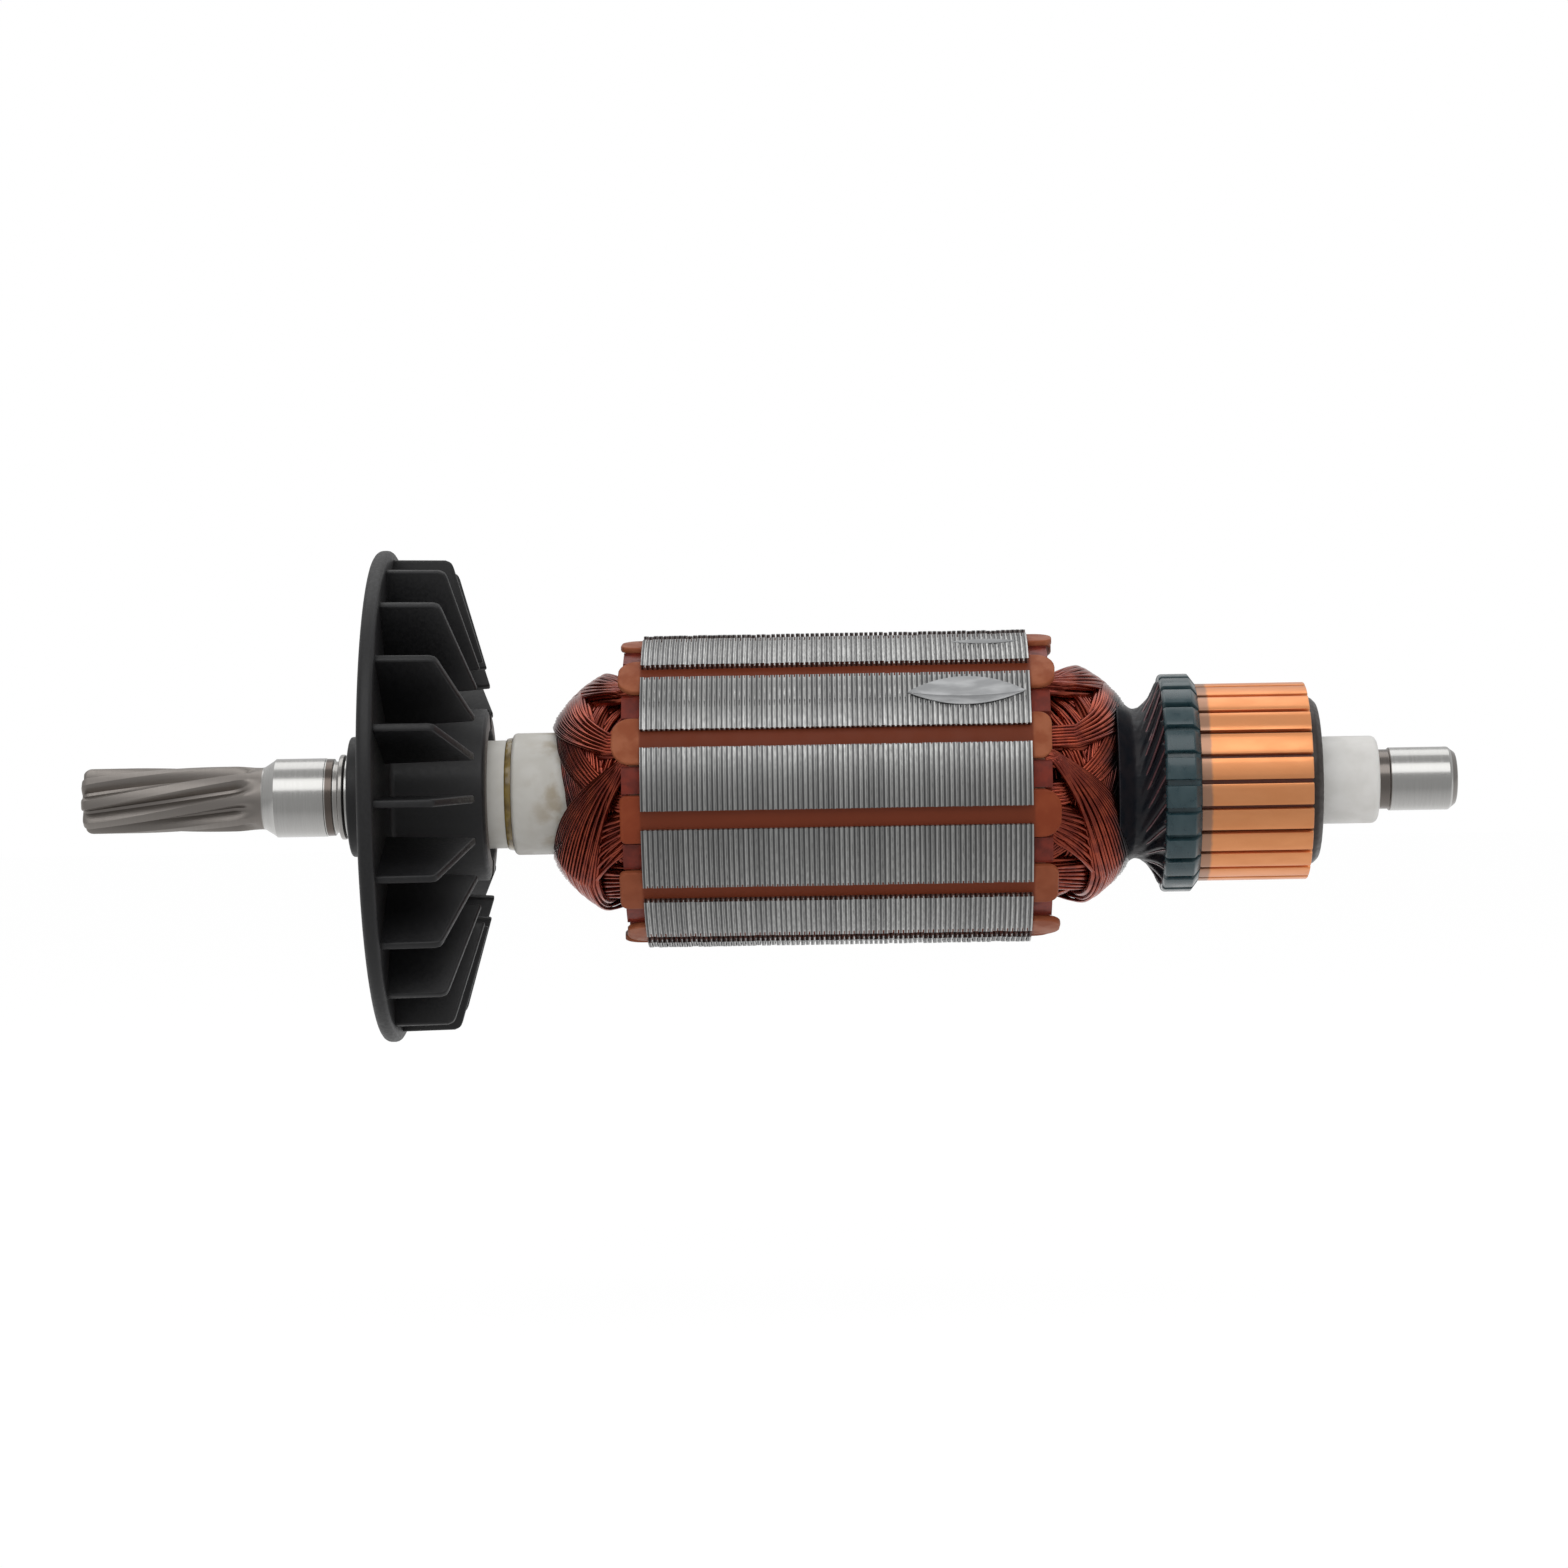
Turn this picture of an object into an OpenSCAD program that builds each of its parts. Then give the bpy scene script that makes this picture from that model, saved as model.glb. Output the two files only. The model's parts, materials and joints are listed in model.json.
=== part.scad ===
// Armature of a universal (brushed) power-tool motor.
// The shaft lies along X. The origin is the middle of the drive-end bearing seat,
// and +X points to the commutator.

/* [Shaft] */
// Diameter of the drive-end bearing seat
drive_seat_d = 10; // [9.7:0.1:10.6]
// Length of the drive-end bearing seat
drive_seat_len = 7.3; // [6.5:0.1:8.5]
// Diameter of the commutator-end bearing seat
comm_seat_d = 8; // [7.7:0.1:8.6]
// Length of the commutator-end bearing seat
comm_seat_len = 7.5; // [6.5:0.1:9]
// Diameter of the shaft inside the insulating sleeve
shaft_d = 9.4; // [9:0.1:9.6]
// Diameter of the collar behind the drive-end seat
collar_d = 11; // [10.8:0.1:12]
// Length of the collar
collar_len = 0.75; // [0.6:0.05:1.2]
// Length of the relief between the seat and the collar
relief_len = 1.1; // [0.8:0.1:1.4]
// Depth of the reliefs beside the two seats
relief_depth = 0.22; // [0.15:0.01:0.3]
// Length of the relief at the commutator end
groove_len = 1.5; // [1.2:0.1:1.8]
// Length of the chamfer on the shaft's far end
end_chamfer = 1; // [0.7:0.1:1.3]

/* [Pinion] */
// Diameter over the tooth tips
pinion_tip_d = 8.28; // [8.1:0.02:8.5]
// Diameter at the tooth roots
pinion_root_d = 5.9; // [5.6:0.1:6.3]
// Length of the teeth at full depth
pinion_len = 20.3; // [16:0.1:24]
// Length over which the tooth spaces run out
runout_len = 2.3; // [1.8:0.1:3]
// Diameter of the plain neck behind the teeth
neck_d = 7.85; // [7.6:0.05:8]
// Length of the cone from the neck up to the bearing seat
neck_cone_len = 1.65; // [1.2:0.05:2.2]
// Number of teeth
teeth = 8; // [6:1:9]
// Left-hand twist of the teeth in degrees a millimetre
tooth_twist = 2.55; // [1.5:0.05:3.5]

/* [Fan] */
// Diameter of the fan's disc
fan_d = 62.5; // [60:0.5:68]
// Thickness of the fan's disc
fan_disc_t = 2; // [1.6:0.1:2.6]
// Number of blades
blades = 20; // [16:1:24]
// Thickness of a blade
blade_t = 1; // [0.8:0.1:1.3]
// Height of a blade at its outer edge
blade_rim_h = 7.6; // [6:0.1:9]
// Height of a blade at its inner edge
blade_eye_h = 11.3; // [9:0.1:12]
// Radius at which the blades start
blade_eye_r = 16.3; // [14:0.1:18]
// Radius of the hub
hub_r = 11.6; // [10.5:0.1:12.6]
// Length of the hub behind the disc
hub_len = 12.3; // [11.5:0.1:13]
// Radius of the boss in front of the disc
boss_r = 7.65; // [7:0.05:9]
// Length of the boss in front of the disc
boss_len = 3.95; // [3:0.05:5]

/* [Insulation] */
// Diameter of the insulating sleeve inside the fan
sleeve_nose_d = 13.75; // [13.2:0.05:14.4]
// Diameter of the insulating sleeve through the core
sleeve_d = 15.5; // [15:0.1:16]
// Length of the sleeve that shows behind the fan
sleeve_free_len = 7.2; // [6:0.1:9]
// Thickness of the end insulators
insulator_t = 2.35; // [1.8:0.05:2.6]
// Diameter of the end insulators
insulator_d = 36.8; // [35:0.1:37.4]
// Thickness of the slot liners
liner_t = 0.22; // [0.15:0.01:0.25]

/* [Core] */
// Diameter of the laminated core
core_d = 39.7; // [39:0.1:41]
// Length of the laminated core
core_len = 48.4; // [40:0.1:56]
// Width of a tooth's web
tooth_w = 3.4; // [3:0.1:3.6]
// Width of the slot openings
slot_mouth = 2.4; // [2:0.1:2.8]
// Thickness of the tooth tips beside the slot mouth
lip_t = 0.8; // [0.7:0.05:1]
// Radius of the slot floor
slot_floor_r = 12; // [11.6:0.1:12.2]
// Half the length of the larger balance cut
balance_half_len = 7.4; // [5:0.1:9]

/* [Wedges] */
// Thickness of a slot wedge
wedge_t = 0.8; // [0.6:0.05:0.9]
// Length of a wedge's tab beyond the core
wedge_tab = 3.6; // [3:0.1:4.2]

/* [Windings] */
// How far the coil heads reach beyond the core at the drive end
drive_head_len = 12.2; // [11.8:0.1:13]
// How far the coil heads reach beyond the core at the commutator end
comm_head_len = 13.2; // [12.8:0.1:14]
// Thickness of a coil head's strand bundle
head_t = 0.92; // [0.8:0.02:0.96]
// Width of a coil head's strand bundle
head_w = 3.8; // [3.4:0.1:3.9]
// Diameter of a coated coil lead
lead_d = 1; // [0.8:0.05:1.1]

/* [Commutator] */
// Diameter of the commutator track
track_d = 25; // [24.4:0.1:25.6]
// Length of the commutator bars
bar_len = 18.15; // [16:0.05:20]
// Depth of a bar below the track
bar_depth = 3.3; // [2.8:0.1:3.6]
// Gap between two bars
bar_gap = 0.5; // [0.4:0.05:0.7]
// Height of a hook above the track
hook_rise = 1.2; // [1:0.05:1.5]
// Width of a hook
hook_w = 1.55; // [1.3:0.05:1.8]
// Length of a hook along the shaft
hook_len = 4.9; // [4:0.1:5.5]
// Distance from the resin neck to the hooks, which the leads cross
lead_span = 2.75; // [2.6:0.05:3.6]
// Diameter of the moulded ring at the commutator's end
end_ring_d = 21.2; // [20:0.1:22]
// Length of the moulded ring
end_ring_len = 1.5; // [1:0.1:2]
// Diameter of the insulating bush on the shaft's far end
bush_d = 11.1; // [10.6:0.1:12]
// Length of the bush beyond the moulded ring
bush_len = 7.6; // [6.5:0.1:9]

/* [Hidden] */
SLOTS = 12;
BARS = 24;
LAYERS = SLOTS / 2;        // coils are wound in opposite pairs, one pair a layer
THROW = 5;                 // slots from one side of a coil to the other
slot_pitch = 360 / SLOTS;
bar_pitch = 360 / BARS;
half_pitch = slot_pitch / 2;
slot_phase = -109.5;       // angle of slot 1, round the shaft
bar_phase = 7.5;
blade_phase = 1.7;
tooth_phase = -82;         // angle of a pinion tooth at the tip
fit_gap = 0.02;            // radial clearance of pieces pressed or glued together
seat_gap = 0.05;           // clearance of pieces that lie against each other
$fn = 72;

// ---- Stations along the shaft ----
seat_start = -drive_seat_len / 2;
neck_end = seat_start - neck_cone_len;
runout_start = neck_end - runout_len;
pinion_tip = runout_start - pinion_len;
relief_end = drive_seat_len / 2 + relief_len;
collar_end = relief_end + collar_len;
boss_start = collar_end + 0.65;
disc_start = boss_start + boss_len;
disc_end = disc_start + fan_disc_t;
hub_end = disc_end + hub_len;
sleeve_start = disc_end + 1.9;
sleeve_step = hub_end + 1.6;
core_start = hub_end + sleeve_free_len + drive_head_len;
core_end = core_start + core_len;
heads_end = core_end + comm_head_len;
neck_len = 0.95;                     // length of the resin neck behind the coil heads
neck_resin_end = heads_end + neck_len;
bar_start = neck_resin_end + lead_span;
bar_end = bar_start + bar_len;
ring_end = bar_end + end_ring_len;
bush_end = ring_end + bush_len;
comm_seat_start = bush_end + groove_len;
comm_seat_end = comm_seat_start + comm_seat_len;
shaft_end = comm_seat_end + end_chamfer;

// ---- Slot geometry, with the slot pointing along +X in its own plane ----
slot_round_at = (slot_floor_r - tooth_w / 2) / (1 - sin(half_pitch));
slot_top_r = core_d / 2 - lip_t;
wedge_r = slot_top_r - seat_gap;
wedge_floor_r = wedge_r - wedge_t;
// Half the slot's width at a radius, with its walls moved in by an inset
function slot_half_w(r, inset) = r * tan(half_pitch) - (tooth_w / 2 + inset) / cos(half_pitch);
wedge_w = 2 * slot_half_w(wedge_floor_r, 0.25);

function two_digits(n) = n < 10 ? str("0", n) : str(n);
function numbered(name, count) = [for (i = [1:count]) str(name, two_digits(i))];

// Turns a piece that was made along Z so that it lies along X
module along_x() {
    rotate([0, 90, 0]) children();
}

// A solid of revolution round the shaft, from [radius, station] points
module turned(points) {
    along_x() rotate_extrude() polygon(points);
}

// ---- Shaft ----

// One tooth's outline from its own centre line: half angle and radius
tip_r = pinion_tip_d / 2;
root_r = pinion_root_d / 2;
tooth_side = [
    [0.45, root_r], [0.38, root_r + 0.42 * (tip_r - root_r)],
    [0.32, root_r + 0.82 * (tip_r - root_r)], [0.22, tip_r]
];
tooth_pitch = 360 / teeth;
tooth_outline = concat(
    [for (p = tooth_side) [-p[0] * tooth_pitch, p[1]]],
    [for (i = [len(tooth_side) - 1:-1:0]) [tooth_side[i][0] * tooth_pitch, tooth_side[i][1]]]
);
pinion_outline = [
    for (t = [0:teeth - 1]) for (p = tooth_outline)
        p[1] * [cos(p[0] + t * tooth_pitch), sin(p[0] + t * tooth_pitch)]
];
teeth_len = neck_end - pinion_tip;
tip_round = 0.9;

// The helical teeth, with rounded ends at the tip
module pinion_teeth() {
    intersection() {
        translate([0, 0, pinion_tip])
            rotate([0, 0, tooth_phase])
                linear_extrude(teeth_len, twist = tooth_twist * teeth_len, slices = 14)
                    polygon(pinion_outline);
        rotate_extrude()
            polygon([
                [0, pinion_tip], [tip_r - tip_round, pinion_tip],
                [tip_r - 0.3 * tip_round, pinion_tip + 0.3 * tip_round],
                [tip_r + 0.1, pinion_tip + tip_round + 0.3],
                [tip_r + 0.1, neck_end], [0, neck_end]
            ]);
    }
}

// The ground shaft, from the run-out of the teeth to the far end
module shaft_bar() {
    rotate_extrude()
        polygon([
            [0, runout_start - 2], [root_r - 0.6, runout_start - 2],
            [root_r - 0.05, runout_start],
            [root_r + 0.45 * (neck_d / 2 - root_r), runout_start + 0.7 * runout_len],
            [neck_d / 2, neck_end],
            [drive_seat_d / 2 - 0.25, seat_start - 0.25], [drive_seat_d / 2, seat_start],
            [drive_seat_d / 2, drive_seat_len / 2],
            [drive_seat_d / 2 - relief_depth, drive_seat_len / 2 + 0.15],
            [drive_seat_d / 2 - relief_depth, relief_end],
            [collar_d / 2, relief_end + 0.1], [collar_d / 2, collar_end],
            [shaft_d / 2, collar_end],
            [shaft_d / 2, ring_end - 3], [comm_seat_d / 2, ring_end - 3],
            [comm_seat_d / 2, bush_end - 0.5],
            [comm_seat_d / 2 - relief_depth, bush_end - 0.3],
            [comm_seat_d / 2 - relief_depth, comm_seat_start - 0.15],
            [comm_seat_d / 2, comm_seat_start], [comm_seat_d / 2, comm_seat_end],
            [comm_seat_d / 2 - 0.25, comm_seat_end + 0.35],
            [comm_seat_d / 2 - 0.8 * end_chamfer, shaft_end], [0, shaft_end]
        ]);
}

module shaft() {
    color("silver") along_x() {
        pinion_teeth();
        shaft_bar();
    }
}

// ---- Fan ----
blade_corner = 1;          // rounding of a blade's outer corner
blade_rim_r = fan_d / 2 - 1.2;
blade_rim_top = disc_end + blade_rim_h;
blade_eye_top = disc_end + blade_eye_h;
recess_depth = 2.2;        // annular recess round the sleeve in the hub's end
recess_wall = 1.4;

// Outline of one blade in the plane through the shaft
module blade_outline() {
    polygon(concat(
        [[blade_eye_r, disc_end - 0.5], [blade_rim_r, disc_end - 0.5]],
        [for (a = [0:15:75]) [
            blade_rim_r - 0.2 - blade_corner * (1 - cos(a)),
            blade_rim_top - blade_corner * (1 - sin(a))
        ]],
        [[blade_eye_r, blade_eye_top]]
    ));
}

module fan_blade() {
    rotate([90, 0, 0]) linear_extrude(blade_t, center = true) blade_outline();
}

// Disc with its rounded rim, hub and front boss
module fan_body() {
    rim = fan_disc_t / 2;
    rotate_extrude()
        polygon(concat(
            [[shaft_d / 2 + fit_gap, boss_start], [boss_r - 0.3, boss_start],
             [boss_r, boss_start + 0.3], [boss_r, disc_start - 0.4], [boss_r + 0.4, disc_start]],
            [for (a = [-90:15:90]) [
                fan_d / 2 - rim * (1 - cos(a)), disc_start + rim * (1 + sin(a))
            ]],
            [[hub_r + 0.6, disc_end], [hub_r, disc_end + 0.8], [hub_r - 0.25, hub_end - 1.9],
             [hub_r - 1.2, hub_end - 0.7], [hub_r - 2.9, hub_end],
             [sleeve_nose_d / 2 + recess_wall, hub_end],
             [sleeve_nose_d / 2 + recess_wall, hub_end - recess_depth],
             [sleeve_nose_d / 2 + fit_gap, hub_end - recess_depth],
             [sleeve_nose_d / 2 + fit_gap, sleeve_start - fit_gap],
             [shaft_d / 2 + fit_gap, sleeve_start - fit_gap]]
        ));
}

module fan() {
    color("#1c1c1e") along_x() difference() {
        union() {
            fan_body();
            for (i = [0:blades - 1]) rotate([0, 0, blade_phase + i * 360 / blades]) fan_blade();
        }
        // two driver notches in the hub's end
        for (a = [0, 180]) rotate([0, 0, a])
            translate([hub_r - 2.2, 0, hub_end]) cube([4.6, 2.2, 1.8], center = true);
    }
}

// ---- Insulation ----
module drive_sleeve() {
    sleeve_end = neck_resin_end + 1.2;
    color("#e6e3dc") turned([
        [shaft_d / 2 + fit_gap, sleeve_start], [sleeve_nose_d / 2, sleeve_start],
        [sleeve_nose_d / 2, sleeve_step], [sleeve_d / 2 - 0.55, sleeve_step + 0.1],
        [sleeve_d / 2 - 0.15, sleeve_step + 0.5], [sleeve_d / 2, sleeve_step + 1],
        [sleeve_d / 2, sleeve_end], [shaft_d / 2 + fit_gap, sleeve_end]
    ]);
}

// Bead of varnish in the corner of the sleeve's step
module varnish_ring() {
    foot = sleeve_nose_d / 2 + fit_gap;
    color("#8a7326") turned([
        [foot, sleeve_step - 0.85], [foot + 0.2, sleeve_step - 0.7],
        [foot + 0.28, sleeve_step - fit_gap], [foot, sleeve_step - fit_gap]
    ]);
}

// A slot's outline with its walls moved in by inset, from the round floor up to top_r
module slot_outline(inset, top_r) {
    round_r = slot_round_at * sin(half_pitch) - tooth_w / 2 - inset;
    foot = slot_round_at - round_r * sin(half_pitch);
    translate([slot_round_at, 0]) circle(r = round_r);
    polygon([
        [foot, -round_r * cos(half_pitch)], [top_r, -slot_half_w(top_r, inset)],
        [top_r, slot_half_w(top_r, inset)], [foot, round_r * cos(half_pitch)]
    ]);
}

// ---- Core ----
module core_outline() {
    difference() {
        circle(d = core_d, $fn = 180);
        circle(d = sleeve_d + 2 * fit_gap);
        for (i = [0:SLOTS - 1]) rotate(slot_phase + i * slot_pitch) {
            slot_outline(0, slot_top_r);
            translate([slot_top_r - 0.1, -slot_mouth / 2]) square([4, slot_mouth]);
        }
    }
}

cut_margin = 0.6;          // from the larger balance cut to the end of the core
small_cut_margin = 1.4;    // from the smaller cut to the end of the core
small_half_len = 0.55 * balance_half_len;

// A cut ground with a V-shaped wheel: it is a pointed oval on the round core
module balance_cut(tooth, at, half_len) {
    wheel_r = 30;
    flank = 25;
    depth = half_len * half_len / (2 * wheel_r);
    rotate([0, 0, slot_phase + (tooth + 0.5) * slot_pitch])
        translate([core_d / 2 + wheel_r - depth, 0, at])
            rotate([90, 0, 0])
                for (side = [0, 180]) rotate([side, 0, 0])
                    cylinder(h = wheel_r * tan(90 - flank) / 8, r1 = wheel_r,
                             r2 = wheel_r * 7 / 8, $fn = 120);
}

module core() {
    color("#8f9193") along_x() difference() {
        translate([0, 0, core_start]) linear_extrude(core_len) core_outline();
        balance_cut(-1, core_end - balance_half_len - cut_margin, balance_half_len);
        balance_cut(-2, core_end - small_half_len - small_cut_margin, small_half_len);
    }
}

// End insulator: the core's shape without the tooth tips
module end_insulator(at) {
    color("#a4452a") along_x() translate([0, 0, at]) linear_extrude(insulator_t)
        difference() {
            circle(d = insulator_d, $fn = 120);
            circle(d = sleeve_d + 2 * fit_gap);
            for (i = [0:SLOTS - 1]) rotate(slot_phase + i * slot_pitch) {
                slot_outline(0, insulator_d / 2 + 1);
            }
        }
}

module slot_liners() {
    over = 0.6 * insulator_t;
    color("#d9c9b0") along_x()
        for (i = [0:SLOTS - 1]) rotate([0, 0, slot_phase + i * slot_pitch])
            translate([0, 0, core_start - over]) linear_extrude(core_len + 2 * over)
                difference() {
                    slot_outline(fit_gap, wedge_floor_r - seat_gap);
                    slot_outline(fit_gap + liner_t, wedge_floor_r + 1);
                }
}

// ---- Slot wedges ----
module slot_wedge(n) {
    tab_r = wedge_w / 2 - 0.6;
    wedge_len = core_len + 2 * wedge_tab;
    color("#b5512a") along_x()
        rotate([0, 0, slot_phase + (n - 1) * slot_pitch])
            translate([wedge_floor_r, 0, core_start - wedge_tab])
                rotate([90, 0, 90]) linear_extrude(wedge_t) {
                    translate([-wedge_w / 2, tab_r]) square([wedge_w, wedge_len - 2 * tab_r]);
                    for (side = [-0.6, 0.6], end = [tab_r, wedge_len - tab_r])
                        translate([side, end]) circle(r = tab_r);
                }
}

// ---- Coils ----
// A coil runs through two slots, THROW apart, and crosses both ends of the core. Its head
// rises from the slots, is drawn in to wind_r and wraps round the sleeve at its layer's height.
wind_r = sleeve_d / 2 + 0.2 + head_w / 2;
side_t = (wedge_floor_r - slot_floor_r - 1) / 2;  // depth of a coil side in its slot
side_wall_gap = liner_t + 0.38;      // from a coil side to the wall of its slot
side_gap = 0.15;                     // between the two coil sides in a slot, and under the wedge
outer_side_r = wedge_floor_r - side_gap - side_t / 2;
inner_side_r = outer_side_r - side_t - side_gap;
head_slope = 0.42;                   // fall of the top layer away from the sleeve
first_layer_h = insulator_t + 0.47 * head_t;

function layer_of(n) = LAYERS - 1 - (n - 1) % LAYERS;
// Height of a layer's middle above the core's face, at radius r
function layer_h(layer, r, head_len) =
    let (top = head_len - head_t * 0.6, base = first_layer_h + head_t / 2)
    base + (top - base) * layer / (LAYERS - 1)
        - head_slope * layer / (LAYERS - 1) * (r - sleeve_d / 2);

function mix(a, b, f) = a + (b - a) * f;
// Point of a cubic curve with control points p
function bezier(p, f) =
    pow(1 - f, 3) * p[0] + 3 * f * pow(1 - f, 2) * p[1] + 3 * f * f * (1 - f) * p[2] + pow(f, 3) * p[3];

rise_steps = 5;
draw_steps = 3;
wrap_steps = 3;
knee_r = mix(wind_r, wedge_floor_r, 0.317);  // inside it the heads lie in layers

// One coil side's way up out of its slot to the knee, as [radius, height, section]
function rise(layer, outer, head_len) =
    let (
        side_r = outer ? outer_side_r : inner_side_r,
        top = layer_h(layer, knee_r, head_len),
        lean = side_t * (outer ? 0.385 : 0.115),
        bend = min(side_t * (outer ? 0.69 : 0.5), top - head_t),
        p = [[side_r, insulator_t / 4], [side_r - lean, top - bend], [side_r - lean, top], [knee_r, top]]
    )
    concat(
        [[side_r, 0, 0]],
        [for (i = [0:rise_steps]) let (f = i / rise_steps, q = bezier(p, f)) [q[0], q[1], min(1, f * 1.5)]]
    );

// Angle between a point on the straight draw-in at radius r and where it touches wind_r
function draw_angle(r) = acos(min(1, wind_r / r));

// Half a coil head, from its slot to the middle, as [radius, angle from the slot, height, section]
function half_head(layer, outer, head_len) =
    let (
        up = rise(layer, outer, head_len),
        turn_r = knee_r + head_t,
        start = draw_angle(turn_r)
    )
    concat(
        [for (p = up) [p[0], start - draw_angle(min(p[0], turn_r)), p[1], p[2]]],
        [for (i = [1:draw_steps])
            let (r = mix(knee_r, wind_r, sin(90 * i / draw_steps)))
            [r, start - draw_angle(r), layer_h(layer, r, head_len), 1]],
        [for (i = [1:wrap_steps - 1])
            [wind_r, mix(start, THROW * half_pitch, i / wrap_steps), layer_h(layer, wind_r, head_len), 1]]
    );

// The whole head as points in space; side is 1 at the commutator and -1 at the drive end
function head_path(n, side) =
    let (
        layer = layer_of(n),
        head_len = side > 0 ? comm_head_len : drive_head_len,
        face = side > 0 ? core_end : core_start,
        a0 = slot_phase + (n - 1) * slot_pitch,
        a1 = a0 + THROW * slot_pitch,
        first = half_head(layer, layer > 0, head_len),
        second = half_head(layer, layer == LAYERS - 1, head_len)
    )
    concat(
        [for (p = first) [p[0] * cos(a0 + p[1]), p[0] * sin(a0 + p[1]), face + side * p[2], p[3]]],
        [[wind_r * cos((a0 + a1) / 2), wind_r * sin((a0 + a1) / 2),
          face + side * layer_h(layer, wind_r, head_len), 1]],
        [for (i = [len(second) - 1:-1:0]) let (p = second[i])
            [p[0] * cos(a1 - p[1]), p[0] * sin(a1 - p[1]), face + side * p[2], p[3]]]
    );

function reversed(list) = [for (i = [len(list) - 1:-1:0]) list[i]];
function coil_path(n) = concat(head_path(n, 1), reversed(head_path(n, -1)));

function unit(v) = v / norm(v);
function xyz(p) = [p[0], p[1], p[2]];

// The eight-sided section of a coil at point i of its closed path
function coil_ring(path, i) =
    let (
        count = len(path),
        here = xyz(path[i]),
        s = path[i][3],
        along = unit(xyz(path[(i + 1) % count]) - xyz(path[(i + count - 1) % count])),
        radial = unit([here[0], here[1], 0]),
        end = here[2] > (core_start + core_end) / 2 ? 1 : -1,
        // the section's thin axis: radial in the slot, along the shaft in the head
        thin_hint = mix(radial, unit([0.35 * radial[0], 0.35 * radial[1], end]), s * (1 - abs(along[2]))),
        wide = unit(cross(along, thin_hint)),
        thin = cross(wide, along),
        r = norm([here[0], here[1]]),
        w = mix(min(1.1 * head_w, 2 * slot_half_w(r, side_wall_gap)), head_w, s) / 2,
        t = mix(side_t, head_t, s) / 2
    )
    [for (k = [0:7]) here + w * 1.08 * cos(22.5 + 45 * k) * wide + t * 1.08 * sin(22.5 + 45 * k) * thin];

// A closed tube through the rings
module closed_tube(rings) {
    count = len(rings);
    sides = len(rings[0]);
    polyhedron(
        [for (ring = rings) for (p = ring) p],
        [for (i = [0:count - 1]) for (k = [0:sides - 1])
            let (a = i * sides, b = ((i + 1) % count) * sides, m = (k + 1) % sides)
            [a + k, a + m, b + m, b + k]]
    );
}

module coil(n) {
    path = coil_path(n);
    color("#8c3b22") along_x() closed_tube([for (i = [0:len(path) - 1]) coil_ring(path, i)]);
}

// ---- Commutator ----
bar_floor_r = track_d / 2 - bar_depth;
mica_r = track_d / 2 - 0.7;          // the moulding stands this far out between the bars
hook_foot_r = track_d / 2 - 0.15;
hook_top_r = track_d / 2 + hook_rise;
hook_slope = 0.6 * hook_rise;        // length over which a hook's tip slopes down to the track
half_bar = bar_pitch / 2;

module bar_outline() {
    reach = track_d;
    gap = bar_gap / 2 / cos(half_bar);
    intersection() {
        difference() {
            circle(d = track_d, $fn = 120);
            circle(r = bar_floor_r, $fn = 120);
        }
        translate([gap / sin(half_bar) * cos(half_bar), 0])
            polygon([[0, 0], [reach, -reach * tan(half_bar)], [reach, reach * tan(half_bar)]]);
    }
}

// Outline of a hook, bent back over the leads, in the plane through the shaft
module hook_outline() {
    polygon([
        [hook_foot_r - 0.6, bar_start], [hook_top_r - 0.35, bar_start],
        [hook_top_r, bar_start + 0.45], [hook_top_r, bar_start + hook_len - hook_slope],
        [hook_foot_r + 0.25, bar_start + hook_len], [hook_foot_r - 0.6, bar_start + hook_len]
    ]);
}

module commutator_bar(n) {
    color("#c9743f") along_x() rotate([0, 0, bar_phase + (n - 1) * bar_pitch]) {
        translate([0, 0, bar_start]) linear_extrude(bar_len) bar_outline();
        rotate([90, 0, 0]) linear_extrude(hook_w, center = true) hook_outline();
    }
}

module commutator_moulding() {
    bore = shaft_d / 2 + fit_gap;
    bush_seat = bush_d / 2 + fit_gap;
    color("#2b2a2a") along_x() difference() {
        rotate_extrude()
            polygon([
                [bore, neck_resin_end + 1.3], [sleeve_d / 2 + 0.3, neck_resin_end + 1.3],
                [bar_floor_r + 0.7, bar_start - 0.5], [mica_r, bar_start + 0.6], [mica_r, bar_end],
                [end_ring_d / 2, bar_end], [end_ring_d / 2, ring_end - 0.8],
                [end_ring_d / 2 - 0.25, ring_end - 0.25], [end_ring_d / 2 - 0.8, ring_end],
                [bush_seat, ring_end], [bush_seat, ring_end - 2.5], [bore, ring_end - 2.5]
            ]);
        for (i = [0:BARS - 1]) rotate([0, 0, bar_phase + i * bar_pitch])
            translate([0, 0, bar_start]) linear_extrude(bar_len) bar_outline();
    }
}

// ---- Leads and resin ----
lead_turn = 48;                      // how far a lead winds round from the neck to its hook
lead_steps = 4;
neck_r = sleeve_d / 2 + 2.05;        // radius of the resin neck

function lead_point(f) =
    let (
        r = mix(neck_r - 0.6 * lead_d, hook_foot_r + lead_d / 2 + seat_gap, pow(f, 0.8)),
        a = lead_turn * (1 - f)
    )
    [r * cos(a), r * sin(a), mix(neck_resin_end + lead_d / 2 + 0.1, bar_start - lead_d / 2 - 0.1, f)];

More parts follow.
